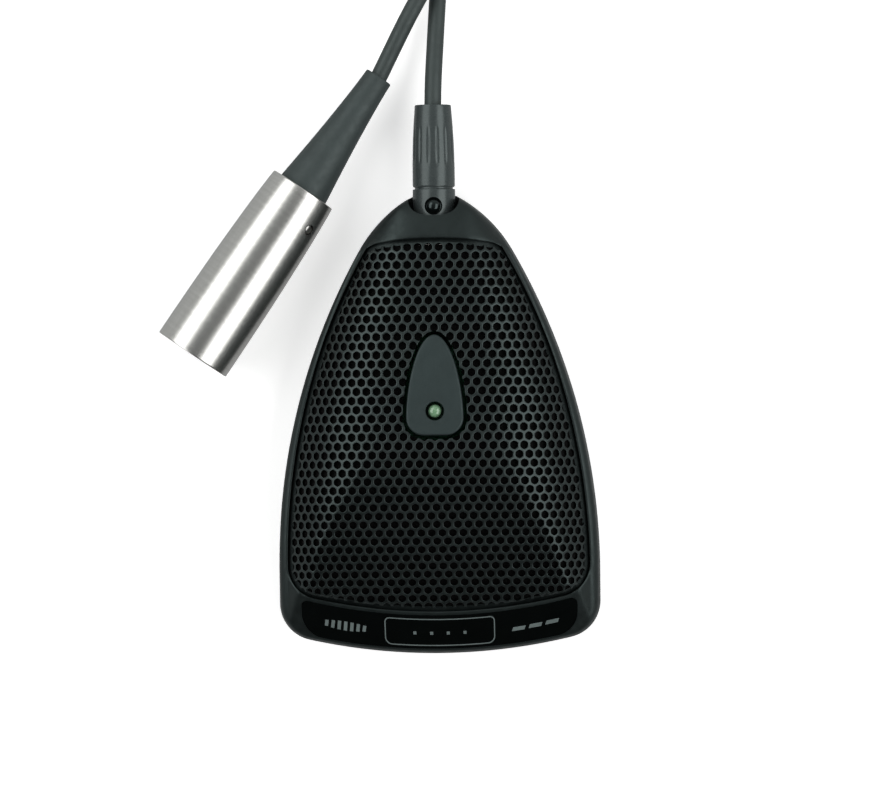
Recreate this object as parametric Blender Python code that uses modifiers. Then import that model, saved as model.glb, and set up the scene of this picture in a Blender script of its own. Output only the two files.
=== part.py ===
"""Low-profile desktop microphone with a push key, a plug-in cable and an in-line connector.

Metres, +Z up. The origin is on the desk under the middle of the housing: the
push key faces -Y, the cable leaves towards +Y and its loop lies on the desk.
"""
import math

import bmesh
import bpy

MM = 0.001

# Housing outline, seen from above. Each arc is (centre x, centre y, radius, start, end).
FRONT_CENTRE_Y = 85.3 * MM
FRONT_R = 140.0 * MM
FRONT_END = math.radians(-77.0)
CORNER_R = 9.0 * MM
SIDE_R = 155.0 * MM
SIDE_Y = -34.5 * MM
HALF_WIDTH = 38.5 * MM
NOSE_START = math.radians(29.5)
NOSE_R = 34.0 * MM
REAR_Y = 54.9 * MM

# Grille opening, built from arcs on the same front centre.
OPENING_FRONT_R = 129.8 * MM
OPENING_CORNER_R = 8.0 * MM
OPENING_HALF = 36.1 * MM
OPENING_SIDE_R = 163.5 * MM
OPENING_REAR_Y = 44.45 * MM
OPENING_REAR_ARC_R = 90.0 * MM
OPENING_REAR_R = 7.0 * MM

# Heights of the crown that the housing rim and the grille follow.
PEAK_Z = 24.0 * MM
PEAK_Y = -7.0 * MM
REAR_FALL = 2.36
FRONT_FALL = 4.2
SIDE_GAIN = 1.4
SIDE_POWER = 2.8
SIDE_STEEPEST = 1.05
RIM_SLOPE = 0.45
FACET_LIFT = 0.3 * MM
FACET_SLOPE = 0.25
FACET_BEND = 4.0
NOSE_Z = 9.0 * MM
NOSE_RISE = 8.3 * MM
NOSE_Y = 44.0 * MM
NOSE_LENGTH = 11.2 * MM
CELL = 3.5 * MM

# Sloped front face, a cone around the front centre.
FACE_FOOT_Z = 2.6 * MM
FACE_RISE = 0.65
FACE_TILT = math.atan(FACE_RISE)

# Floor stack.
PAD_TOP = 1.2 * MM
PLATE_BOTTOM = 1.4 * MM
PLATE_TOP = 2.2 * MM
HOUSING_BOTTOM = 1.0 * MM
RECESS_TOP = 2.4 * MM
PLATE_INSET = 2.5 * MM
SCREW_SPOTS = [(31.0, -30.0), (-31.0, -30.0), (15.9, 33.5), (-15.9, 33.5)]
BOSS_R = 4.8 * MM
WINDOW = (7.0 * MM, 4.0 * MM)
WINDOW_Y = 14.0 * MM
CAPSULE_Y = -27.5 * MM

# Push key, as distances from the housing's front edge.
LABEL_NEAR = 1.1 * MM
LABEL_FAR = 9.3 * MM
LABEL_HALF = 33.0 * MM
KEY_NEAR = 1.8 * MM
KEY_FAR = 8.4 * MM
KEY_HALF = 13.2 * MM
KEY_GAP = 0.3 * MM

# Indicator window.
BEZEL_TIP_Y = 21.5 * MM
BEZEL_WIDE_Y = 1.85 * MM
BEZEL_BASE_Y = -2.35 * MM
BEZEL_HALF = 6.8 * MM
BEZEL_CORNER_R = 4.2 * MM
BEZEL_TAPER = 1.7
LIGHT_Y = 3.4 * MM

# Cable socket and plug, along the axis through the rear of the housing.
PLUG_Z = 9.3 * MM
CHANNEL_R = 6.2 * MM
POCKET_Y = 54.5 * MM
POCKET_DEPTH = 4.6 * MM
POCKET_HALF = 6.15 * MM
PLUG_R = 5.07 * MM
JACK_R = 4.9 * MM
LATCH_Y = 52.2 * MM
PIN_CIRCLE = 2.1 * MM
CABLE_R = 2.03 * MM
MOUTH_R = 2.85 * MM
BORE_R = 2.3 * MM

# In-line connector lying on the desk.
XLR_FRONT = (-58.2 * MM, 17.6 * MM, 10.06 * MM)
XLR_HEADING = math.radians(-34.6)
XLR_TILT = math.radians(1.57)
XLR_LENGTH = 79.9 * MM
BOOT_START = 47.9 * MM
BOOT_BASE_R = 6.3 * MM
BOOT_TIP_R = 3.4 * MM

PAINT = ("housing_paint", (0.045, 0.050, 0.049), 0.42, 0.0)
GRILLE_PAINT = ("grille_paint", (0.050, 0.055, 0.054), 0.45, 0.0)
FOAM = ("liner_foam", (0.015, 0.015, 0.015), 0.95, 0.0)
STEEL = ("zinc_steel", (0.62, 0.62, 0.60), 0.35, 1.0)
RUBBER = ("base_rubber", (0.03, 0.03, 0.03), 0.85, 0.0)
SATIN_BLACK = ("plug_satin", (0.16, 0.17, 0.17), 0.38, 0.0)
GLOSS_BLACK = ("overlay_gloss", (0.012, 0.012, 0.013), 0.12, 0.0)
BEZEL_GREY = ("bezel_grey", (0.085, 0.09, 0.09), 0.5, 0.0)
GREEN_LENS = ("light_lens", (0.45, 0.75, 0.45), 0.2, 0.0)
BOARD_GREEN = ("board_laminate", (0.03, 0.16, 0.07), 0.45, 0.0)
CHIP_BLACK = ("component_plastic", (0.03, 0.03, 0.03), 0.5, 0.0)
ALUMINIUM = ("can_aluminium", (0.72, 0.72, 0.72), 0.3, 1.0)
BRASS = ("contact_gold", (0.80, 0.62, 0.28), 0.25, 1.0)
NICKEL = ("satin_nickel", (0.66, 0.66, 0.63), 0.3, 1.0)
CABLE_GREY = ("cable_jacket", (0.19, 0.21, 0.21), 0.6, 0.0)
BOOT_GREY = ("boot_rubber", (0.20, 0.22, 0.22), 0.65, 0.0)
SWITCH_WHITE = ("slider_white", (0.75, 0.75, 0.72), 0.45, 0.0)


# ---------------------------------------------------------------- helpers
def clear_scene():
    for item in list(bpy.data.objects):
        bpy.data.objects.remove(item, do_unlink=True)


def new_collection(name):
    collection = bpy.data.collections.new(name)
    bpy.context.scene.collection.children.link(collection)
    return collection


def paint(obj, look):
    """Give an object the Principled material that its look names."""
    name, colour, roughness, metallic = look
    mat = bpy.data.materials.get(name)
    if mat is None:
        mat = bpy.data.materials.new(name)
        mat.use_nodes = True
        shader = mat.node_tree.nodes["Principled BSDF"]
        shader.inputs["Base Color"].default_value = (*colour, 1.0)
        shader.inputs["Roughness"].default_value = roughness
        shader.inputs["Metallic"].default_value = metallic
    obj.data.materials.clear()
    obj.data.materials.append(mat)


def place(name, mesh, look, parent=None):
    """Put a mesh in the scene: a part when it has a look, a cutter when it has none."""
    obj = bpy.data.objects.new(name, mesh)
    if look is None:
        cutters.objects.link(obj)
        obj.hide_render = True
        obj.display_type = "WIRE"
    else:
        parts.objects.link(obj)
        paint(obj, look)
    obj.parent = parent
    return obj


def as_mesh(obj):
    """Turn a curve or modified object into a plain welded mesh under the same name."""
    bpy.context.view_layer.update()
    evaluated = obj.evaluated_get(bpy.context.evaluated_depsgraph_get())
    mesh = bpy.data.meshes.new_from_object(evaluated)
    bm = bmesh.new()
    bm.from_mesh(mesh)
    bmesh.ops.remove_doubles(bm, verts=bm.verts, dist=0.00001)
    bmesh.ops.recalc_face_normals(bm, faces=bm.faces)
    bm.to_mesh(mesh)
    bm.free()
    return mesh


def cut(obj, cutter, operation="DIFFERENCE"):
    modifier = obj.modifiers.new(cutter.name, "BOOLEAN")
    modifier.operation = operation
    modifier.solver = "EXACT"
    modifier.object = cutter


def soften(obj, width, segments=2, angle=40):
    bevel = obj.modifiers.new("soft_edges", "BEVEL")
    bevel.width = width
    bevel.segments = segments
    bevel.limit_method = "ANGLE"
    bevel.angle_limit = math.radians(angle)


def prism(name, outlines, bottom, top, look=None, parent=None):
    """Flat outline, with further outlines as its holes, between two heights."""
    curve = bpy.data.curves.new(name + "_curve", "CURVE")
    curve.dimensions = "2D"
    curve.fill_mode = "BOTH"
    curve.extrude = (top - bottom) / 2
    for outline in outlines:
        spline = curve.splines.new("POLY")
        spline.points.add(len(outline) - 1)
        spline.use_cyclic_u = True
        for point, (x, y) in zip(spline.points, outline):
            point.co = (x, y, 0.0, 1.0)
    guide = bpy.data.objects.new(name + "_guide", curve)
    cutters.objects.link(guide)
    mesh = as_mesh(guide)
    bpy.data.objects.remove(guide, do_unlink=True)
    obj = place(name, mesh, look, parent)
    obj.location.z = (top + bottom) / 2
    return obj


def turned(name, profile, steps, look=None, parent=None, ring=True):
    """Turn a (radius, height) profile about +Z; a ring profile closes on itself."""
    mesh = bpy.data.meshes.new(name)
    edges = [(i, i + 1) for i in range(len(profile) - 1)]
    if ring:
        edges.append((len(profile) - 1, 0))
    mesh.from_pydata([(radius, 0.0, height) for radius, height in profile], edges, [])
    obj = place(name, mesh, look, parent)
    screw = obj.modifiers.new("turn", "SCREW")
    screw.steps = steps
    screw.render_steps = steps
    screw.use_merge_vertices = True
    screw.merge_threshold = 0.000001
    screw.use_smooth_shade = True
    return obj


def rod(name, bottom, top, radius, steps=20, look=None, parent=None, edge=0.0):
    """Solid round bar along +Z, with an optional chamfer at both ends."""
    profile = [(0.0, top), (radius - edge, top)]
    if edge:
        profile += [(radius, top - edge), (radius, bottom + edge)]
    else:
        profile += [(radius, bottom)]
    profile += [(radius - edge, bottom)] if edge else []
    profile += [(0.0, bottom)]
    return turned(name, profile, steps, look, parent, ring=False)


def block(name, size, centre, look=None, parent=None, turn_z=0.0):
    bm = bmesh.new()
    bmesh.ops.create_cube(bm, size=1.0)
    for vert in bm.verts:
        vert.co.x *= size[0]
        vert.co.y *= size[1]
        vert.co.z *= size[2]
    mesh = bpy.data.meshes.new(name)
    bm.to_mesh(mesh)
    bm.free()
    obj = place(name, mesh, look, parent)
    obj.location = centre
    obj.rotation_euler.z = turn_z
    return obj


def empty(name, location, rotation=(0.0, 0.0, 0.0), parent=None):
    obj = bpy.data.objects.new(name, None)
    cutters.objects.link(obj)
    obj.location = location
    obj.rotation_euler = rotation
    obj.parent = parent
    return obj


def arc(cx, cy, radius, start, end, steps):
    """Points of an arc whose angles are measured from +X."""
    turns = [start + (end - start) * i / steps for i in range(steps + 1)]
    return [(cx + radius * math.cos(turn), cy + radius * math.sin(turn)) for turn in turns]


def mirrored(half):
    """Close a right-hand half outline by mirroring it in the YZ plane."""
    return half + [(-x, y) for x, y in reversed(half) if x > 1e-6]


def housing_outline(inset):
    """Outline of the housing, moved inwards by inset."""
    corner_x = (FRONT_R - CORNER_R) * math.cos(FRONT_END)
    corner_y = FRONT_CENTRE_Y + (FRONT_R - CORNER_R) * math.sin(FRONT_END)
    side_x = HALF_WIDTH - SIDE_R
    nose_x = side_x + (SIDE_R - NOSE_R) * math.cos(NOSE_START)
    nose_y = SIDE_Y + (SIDE_R - NOSE_R) * math.sin(NOSE_START)
    nose_end = math.asin((REAR_Y - inset - nose_y) / (NOSE_R - inset))
    half = arc(0.0, FRONT_CENTRE_Y, FRONT_R - inset, -math.pi / 2, FRONT_END, 8)
    half += arc(corner_x, corner_y, CORNER_R - inset, FRONT_END, 0.0, 8)
    half += arc(side_x, SIDE_Y, SIDE_R - inset, 0.0, NOSE_START, 12)
    half += arc(nose_x, nose_y, NOSE_R - inset, NOSE_START, nose_end, 6)[1:]
    return mirrored(half)


def meeting_point(a, reach_a, b, reach_b):
    """Point at the given distances from centres a and b, on the rear side."""
    dx, dy = b[0] - a[0], b[1] - a[1]
    gap = math.hypot(dx, dy)
    along = (gap ** 2 + reach_a ** 2 - reach_b ** 2) / (2 * gap)
    off = math.sqrt(reach_a ** 2 - along ** 2)
    return a[0] + (dx * along - dy * off) / gap, a[1] + (dy * along + dx * off) / gap


def opening_outline(inset):
    """Outline of the grille opening, moved inwards by inset."""
    corner_x = OPENING_HALF - OPENING_CORNER_R
    reach = OPENING_FRONT_R - OPENING_CORNER_R
    front_end = -math.acos(corner_x / reach)
    corner_y = FRONT_CENTRE_Y + reach * math.sin(front_end)
    side_x = OPENING_HALF - OPENING_SIDE_R
    arc_y = OPENING_REAR_Y - OPENING_REAR_ARC_R
    rear_x, rear_y = meeting_point((side_x, SIDE_Y), OPENING_SIDE_R - OPENING_REAR_R,
                                   (0.0, arc_y), OPENING_REAR_ARC_R - OPENING_REAR_R)
    side_start = math.asin((corner_y - SIDE_Y) / OPENING_SIDE_R)
    rear_turn = math.atan2(rear_y - SIDE_Y, rear_x - side_x)
    lip_turn = math.atan2(rear_y - arc_y, rear_x)
    half = arc(0.0, FRONT_CENTRE_Y, OPENING_FRONT_R - inset, -math.pi / 2, front_end, 8)
    half += arc(corner_x, corner_y, OPENING_CORNER_R - inset, front_end, 0.0, 6)[1:]
    half += arc(side_x, SIDE_Y, OPENING_SIDE_R - inset, side_start, rear_turn, 12)[1:]
    half += arc(rear_x, rear_y, OPENING_REAR_R - inset, rear_turn, lip_turn, 5)[1:]
    half += arc(0.0, arc_y, OPENING_REAR_ARC_R - inset, lip_turn, math.pi / 2, 3)[1:]
    return mirrored(half)


def face_band(near, far, half_width, corner, grow=0.0):
    """Rounded band on the sloped face, between two distances from the front edge."""
    inner = FRONT_R - far - grow
    outer = FRONT_R - near + grow
    width = half_width + grow
    half = []
    spread = math.asin((width - corner) / outer)
    half += arc(0.0, FRONT_CENTRE_Y, outer, -math.pi / 2, -math.pi / 2 + spread, 6)
    low_y = FRONT_CENTRE_Y - math.sqrt((outer - corner) ** 2 - (width - corner) ** 2)
    half += arc(width - corner, low_y, corner, -math.pi / 2 + spread, 0.0, 4)[1:]
    high_y = FRONT_CENTRE_Y - math.sqrt((inner + corner) ** 2 - (width - corner) ** 2)
    half += arc(width - corner, high_y, corner, 0.0, math.pi / 2 + spread, 4)
    back = math.asin((width - corner) / inner)
    half += arc(0.0, FRONT_CENTRE_Y, inner, -math.pi / 2 + back, -math.pi / 2, 6)[1:]
    return mirrored(half)[:-1]


def teardrop_outline(grow=0.0):
    """Indicator window outline: a tapered tip on a base with rounded corners."""
    half_x = BEZEL_HALF + grow
    half_y = BEZEL_TIP_Y - BEZEL_WIDE_Y + grow
    half = []
    for step in range(12):
        ahead = math.sin(math.pi / 2 * (1 - step / 12))
        half.append((half_x * math.sqrt(1 - ahead ** BEZEL_TAPER), BEZEL_WIDE_Y + half_y * ahead))
    centre_y = BEZEL_BASE_Y + BEZEL_CORNER_R
    half += arc(BEZEL_HALF - BEZEL_CORNER_R, centre_y, BEZEL_CORNER_R + grow, 0.0, -math.pi / 2, 5)
    return mirrored(half)


def pocket_outline():
    """Plan of the plug's pocket in the nose: a blunt round end that is open to the rear."""
    spots = []
    for step in range(17):
        turn = math.pi * step / 16
        across = math.copysign(abs(math.cos(turn)) ** 0.8, -math.cos(turn))
        spots.append((POCKET_HALF * across, POCKET_Y - POCKET_DEPTH * math.sin(turn) ** 0.8))
    return spots + [(POCKET_HALF, 64 * MM), (-POCKET_HALF, 64 * MM)]


# ---------------------------------------------------------------- surfaces
def soft_min(a, b, width):
    overlap = max(width - abs(a - b), 0.0) / width
    return min(a, b) - overlap * overlap * width / 4


def side_drop(x, y):
    """Fall from the ridge to the side: it steepens across the opening, then eases over the rim."""
    half = OPENING_HALF - OPENING_SIDE_R + math.sqrt(OPENING_SIDE_R ** 2 - max(y - SIDE_Y, 0.0) ** 2)
    share = abs(x) / half
    steep_at = (SIDE_STEEPEST / SIDE_GAIN) ** (1 / SIDE_POWER)
    curved = SIDE_GAIN / (SIDE_POWER + 1) * min(share, steep_at) ** (SIDE_POWER + 1)
    straight = SIDE_STEEPEST * max(min(share, 1.0) - steep_at, 0.0)
    return half * (curved + straight + RIM_SLOPE * max(share - 1.0, 0.0))


def crown(x, y):
    """Height of the domed top above the desk."""
    back = y - PEAK_Y
    ridge = PEAK_Z - (REAR_FALL if back > 0 else FRONT_FALL) * back * back
    dome = ridge - side_drop(x, y)
    if back < 0:
        facet = PEAK_Z + FACET_LIFT + FACET_SLOPE * back - FACET_BEND * back * back
        dome = soft_min(dome, facet, 1.2 * MM)
    if y > NOSE_Y:
        reach = min((y - NOSE_Y) / NOSE_LENGTH, 1.0)
        nose = NOSE_Z + NOSE_RISE * math.sqrt(1.0 - reach * reach)
        dome = soft_min(dome, nose, 0.8 * MM)
    return dome


def face_height(x, y):
    """Height of the sloped front face above the desk."""
    inward = FRONT_R - math.hypot(x, y - FRONT_CENTRE_Y)
    return FACE_FOOT_Z + FACE_RISE * inward


def slab(name, spots, lower, upper, columns, rows, look=None):
    """Closed slab over a grid of spots, between two height functions."""
    bm = bmesh.new()
    bmesh.ops.create_grid(bm, x_segments=columns, y_segments=rows, size=0.5)
    for vert in bm.verts:
        vert.co.x, vert.co.y = spots(vert.co.x + 0.5, vert.co.y + 0.5)
        vert.co.z = upper(vert.co.x, vert.co.y)
    below = bmesh.ops.extrude_face_region(bm, geom=bm.faces[:])["geom"]
    for vert in below:
        if isinstance(vert, bmesh.types.BMVert):
            vert.co.z = lower(vert.co.x, vert.co.y)
    bmesh.ops.recalc_face_normals(bm, faces=bm.faces)
    mesh = bpy.data.meshes.new(name)
    bm.to_mesh(mesh)
    bm.free()
    return place(name, mesh, look)


def crown_slab(name, lower, upper, look=None, cell=CELL):
    """Slab under the whole crown; lower and upper are offsets or fixed heights."""
    half_x = 42.0 * MM
    half_y = 60.0 * MM

    def spots(u, v):
        return half_x * (2 * u - 1), half_y * (2 * v - 1)

    columns = round(2 * half_x / cell)
    rows = round(2 * half_y / cell)
    return slab(name, spots, lower, upper, columns, rows, look)


def face_slab(name, lower, upper, near, far, half_width, look=None):
    """Slab along the sloped face; lower and upper are heights above or below it."""
    spread = half_width / FRONT_R

    def spots(u, v):
        turn = spread * (2 * u - 1)
        reach = FRONT_R - near - (far - near) * v
        return reach * math.sin(turn), FRONT_CENTRE_Y - reach * math.cos(turn)

    columns = max(4, round(2 * half_width / (5 * MM)))
    return slab(name, spots, lower, upper, columns, 1, look)


def below_crown(depth):
    return lambda x, y: crown(x, y) - depth


def below_face(depth):
    return lambda x, y: face_height(x, y) - depth


def level(height):
    return lambda x, y: height


# ---------------------------------------------------------------- housing and floor
def trimmed(obj, outline, bottom=-5 * MM, top=45 * MM):
    cut(obj, prism(obj.name + "_trim", [outline], bottom, top), "INTERSECT")


def build_housing():
    housing = prism("housing", [housing_outline(0.0)], HOUSING_BOTTOM, 35 * MM, PAINT)
    cut(housing, crown_slab("crown_trim", level(-10 * MM), below_crown(0.0)), "INTERSECT")
    cut(housing, face_slab("face_trim", below_face(0.0), level(40 * MM), -6 * MM, 26 * MM, 60 * MM))
    opening = crown_slab("opening_cut", below_crown(1.4 * MM), level(45 * MM))
    trimmed(opening, opening_outline(0.0))
    cut(housing, opening)
    cut(housing, prism("cavity_cut", [opening_outline(1.3 * MM)], -5 * MM, 45 * MM))
    for index, (x, y) in enumerate(SCREW_SPOTS):
        boss = rod(f"boss_{index}", RECESS_TOP - 0.4 * MM, 6.8 * MM, BOSS_R)
        boss.location.x = x * MM
        boss.location.y = y * MM
        cut(housing, boss, "UNION")
    cut(housing, prism("plate_recess", [housing_outline(PLATE_INSET - 0.3 * MM)], -5 * MM, RECESS_TOP))
    for index, (x, y) in enumerate(SCREW_SPOTS):
        hole = rod(f"boss_hole_{index}", -2 * MM, 6.0 * MM, 1.4 * MM, 16)
        hole.location.x = x * MM
        hole.location.y = y * MM
        cut(housing, hole)
    cut(housing, rod("jack_bore", 36 * MM, 49.4 * MM, JACK_R + 0.2 * MM, 32, None, plug_axis))
    cut(housing, rod("plug_channel", 49.2 * MM, 64 * MM, CHANNEL_R, 40, None, plug_axis))
    cut(housing, prism("plug_pocket", [pocket_outline()], PLUG_Z + 0.5 * MM, 30 * MM))
    label = face_slab("label_cut", below_face(0.5 * MM), level(40 * MM), -2 * MM, 12 * MM, 50 * MM)
    trimmed(label, face_band(LABEL_NEAR, LABEL_FAR, LABEL_HALF, 3.0 * MM))
    cut(housing, label)
    well = face_slab("key_well", below_face(0.8 * MM), level(40 * MM), -2 * MM, 12 * MM, 30 * MM)
    trimmed(well, face_band(KEY_NEAR, KEY_FAR, KEY_HALF, 1.0 * MM, KEY_GAP))
    cut(housing, well)
    pocket = face_slab("dome_pocket", below_face(1.6 * MM), level(40 * MM), -2 * MM, 12 * MM, 30 * MM)
    trimmed(pocket, face_band(3.6 * MM, 8.0 * MM, 10.0 * MM, 1.0 * MM))
    cut(housing, pocket)


def window_outline(grow, y=WINDOW_Y):
    half_x = WINDOW[0] + grow
    half_y = WINDOW[1] + grow
    return [(-half_x, y - half_y), (half_x, y - half_y), (half_x, y + half_y), (-half_x, y + half_y)]


def build_floor():
    holes = [arc(x * MM, y * MM, 2.8 * MM, 0.0, math.tau * 15 / 16, 15) for x, y in SCREW_SPOTS]
    outline = housing_outline(PLATE_INSET + 1.0 * MM)
    prism("base_pad", [outline, window_outline(0.6 * MM)] + holes, 0.0, PAD_TOP, RUBBER)
    holes = [arc(x * MM, y * MM, 1.7 * MM, 0.0, math.tau * 15 / 16, 15) for x, y in SCREW_SPOTS]
    outlines = [housing_outline(PLATE_INSET), window_outline(0.0)] + holes
    prism("base_plate", outlines, PLATE_BOTTOM, PLATE_TOP, STEEL)
    for index, (x, y) in enumerate(SCREW_SPOTS, 1):
        profile = [(0.0, 5.6), (1.1, 5.6), (1.25, 5.3), (1.25, 1.3), (2.5, 1.3), (2.5, 0.8)]
        profile += [(2.1, 0.4), (0.0, 0.4)]
        screw = turned(f"base_screw_{index}", scaled(profile), 14, STEEL, ring=False)
        screw.location = (x * MM, y * MM, 0.0)
        slot = block(f"base_screw_slot_{index}", (4.0 * MM, 0.7 * MM, 0.7 * MM), (0.0, 0.0, 0.4 * MM))
        slot.parent = screw
        cut(screw, slot)


def scaled(profile):
    return [(radius * MM, height * MM) for radius, height in profile]


# ---------------------------------------------------------------- grille and indicator
def build_grille():
    grille = crown_slab("grille", below_crown(1.1 * MM), below_crown(0.3 * MM), GRILLE_PAINT)
    trimmed(grille, opening_outline(0.9 * MM))
    cut(grille, prism("grille_window", [teardrop_outline(0.8 * MM)], 10 * MM, 40 * MM))
    liner = crown_slab("grille_liner", below_crown(2.4 * MM), below_crown(1.6 * MM), FOAM, 6.0 * MM)
    trimmed(liner, opening_outline(1.7 * MM))
    cut(liner, prism("liner_window", [teardrop_outline(1.0 * MM)], 10 * MM, 40 * MM))


def build_indicator():
    bezel = crown_slab("indicator_bezel", below_crown(5.5 * MM), below_crown(-0.5 * MM), BEZEL_GREY)
    trimmed(bezel, teardrop_outline())
    stem = block("bezel_stem", (8 * MM, 8 * MM, 13.5 * MM), (0.0, LIGHT_Y, 13.25 * MM))
    cut(bezel, stem, "UNION")
    bore = rod("light_bore", 0.0, 40 * MM, 2.2 * MM, 24)
    bore.location.y = LIGHT_Y
    cut(bezel, bore)
    profile = [(0.0, 24.0), (0.7, 23.9), (1.25, 23.55), (1.65, 22.9), (1.65, 8.0), (1.5, 7.7), (0.0, 7.7)]
    pipe = turned("light_pipe", scaled(profile), 24, GREEN_LENS, ring=False)
    pipe.location.y = LIGHT_Y
    block("light_chip", (1.6 * MM, 1.0 * MM, 0.8 * MM), (0.0, LIGHT_Y, 6.85 * MM), GREEN_LENS)


# ---------------------------------------------------------------- electronics
def build_board():
    half = 22.0 * MM
    corners = [(-half, -20 * MM), (half, -20 * MM), (half, 8 * MM), (9.5 * MM, 30 * MM)]
    corners += [(-9.5 * MM, 30 * MM), (-half, 8 * MM)]
    spots = [(19.0, -17.0), (-19.0, -17.0), (7.0, 27.0), (-7.0, 27.0)]
    holes = [arc(x * MM, y * MM, 1.3 * MM, 0.0, math.tau * 11 / 12, 11) for x, y in spots]
    prism("circuit_board", [corners] + holes, 5.1 * MM, 6.3 * MM, BOARD_GREEN)
    for index, (x, y) in enumerate(spots, 1):
        profile = [(0.0, 7.2), (1.1, 7.2), (1.1, 5.0), (2.0, 5.0), (2.0, 2.3), (0.0, 2.3)]
        post = turned(f"board_post_{index}", scaled(profile), 16, ALUMINIUM, ring=False)
        post.location = (x * MM, y * MM, 0.0)
    block("preamp_chip", (6 * MM, 5 * MM, 1.6 * MM), (-11 * MM, -6 * MM, 7.2 * MM), CHIP_BLACK)
    for index, x in enumerate((-11.0, 11.0), 1):
        profile = [(0.0, 13.4), (2.2, 13.4), (2.5, 13.1), (2.5, 7.9), (2.3, 7.6), (2.5, 7.3), (2.5, 6.4),
                   (0.0, 6.4)]
        can = turned(f"capacitor_{index}", scaled(profile), 20, ALUMINIUM, ring=False)
        can.location = (x * MM, 20 * MM, 0.0)


def build_mode_switch():
    """Three small slide switches, reached through the window in the floor."""
    body = block("mode_switch", (11.6 * MM, 6.0 * MM, 3.0 * MM), (0.0, WINDOW_Y, 3.5 * MM), CHIP_BLACK)
    for index, x in enumerate((-3.6 * MM, 0.0, 3.6 * MM), 1):
        slot = block(f"mode_slot_{index}", (1.8 * MM, 3.8 * MM, 1.8 * MM), (x, WINDOW_Y, 2.0 * MM))
        cut(body, slot)
        size = (1.4 * MM, 1.5 * MM, 1.5 * MM)
        block(f"mode_slider_{index}", size, (x, WINDOW_Y - 0.9 * MM, 2.05 * MM), SWITCH_WHITE)


def build_capsule():
    holder = block("capsule_holder", (15 * MM, 6 * MM, 9.6 * MM), (0.0, CAPSULE_Y, 7.6 * MM), RUBBER)
    soften(holder, 1.0 * MM)
    axis = empty("capsule_axis", (0.0, CAPSULE_Y, 7.5 * MM), (math.radians(90), 0.0, 0.0))
    cut(holder, rod("capsule_bore", -9 * MM, 9 * MM, 4.6 * MM, 28, None, axis))
    profile = [(0.0, 2.9), (3.4, 2.9), (3.6, 3.1), (4.2, 3.1), (4.4, 2.8), (4.4, -2.6), (4.1, -2.9),
               (0.0, -2.9)]
    turned("capsule", scaled(profile), 28, ALUMINIUM, axis, ring=False)


def build_key():
    overlay = face_slab("label_overlay", below_face(0.4 * MM), below_face(0.05 * MM), -2 * MM, 12 * MM,
                        50 * MM, GLOSS_BLACK)
    trimmed(overlay, face_band(LABEL_NEAR, LABEL_FAR, LABEL_HALF, 3.0 * MM, -0.15 * MM))
    hole = prism("key_hole", [face_band(KEY_NEAR, KEY_FAR, KEY_HALF, 1.0 * MM, KEY_GAP)], 0.0, 20 * MM)
    cut(overlay, hole)
    key = face_slab("push_key", below_face(0.4 * MM), below_face(0.05 * MM), -2 * MM, 12 * MM,
                    30 * MM, GLOSS_BLACK)
    trimmed(key, face_band(KEY_NEAR, KEY_FAR, KEY_HALF, 1.0 * MM))
    backer = face_slab("contact_sheet", below_face(1.5 * MM), below_face(1.3 * MM), -2 * MM, 12 * MM,
                       30 * MM, BOARD_GREEN)
    trimmed(backer, face_band(3.6 * MM, 8.0 * MM, 10.0 * MM, 1.0 * MM, -0.2 * MM))
    dome_y = -FRONT_R + FRONT_CENTRE_Y + 5.8 * MM
    dome_z = face_height(0.0, dome_y) - 1.12 * MM
    profile = [(0.0, 0.28), (0.7, 0.24), (1.4, 0.12), (1.9, 0.0), (1.9, -0.1), (1.2, 0.02), (0.0, 0.13)]
    dome = turned("snap_dome", scaled(profile), 20, STEEL, ring=False)
    dome.location = (0.0, dome_y, dome_z)
    dome.rotation_euler.x = FACE_TILT


# ---------------------------------------------------------------- socket and plug
def build_jack():
    profile = [(4.9, 49.1), (4.9, 40.4), (4.5, 40.4), (4.5, 49.1)]
    turned("jack_shell", scaled(profile), 32, NICKEL, plug_axis)
    nut = rod("jack_nut", 40.7 * MM, 42.6 * MM, 6.3 * MM, 6, NICKEL, plug_axis)
    cut(nut, rod("nut_bore", 40 * MM, 44 * MM, JACK_R + 0.05 * MM, 32, None, plug_axis))
    nut.rotation_euler.z = math.radians(30)
    rod("jack_insert", 38.2 * MM, 40.2 * MM, 4.4 * MM, 28, CHIP_BLACK, plug_axis)
    insert = bpy.data.objects["jack_insert"]
    for index in range(4):
        turn = math.radians(45 + 90 * index)
        spot = (PIN_CIRCLE * math.cos(turn), PIN_CIRCLE * math.sin(turn))
        pin = rod(f"jack_pin_{index + 1}", 36.6 * MM, 47.6 * MM, 0.45 * MM, 12, BRASS, plug_axis, 0.15 * MM)
        pin.location.x, pin.location.y = spot
        hole = rod(f"jack_pin_hole_{index}", 36 * MM, 42 * MM, 0.6 * MM, 12, None, plug_axis)
        hole.location.x, hole.location.y = spot
        cut(insert, hole)


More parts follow.
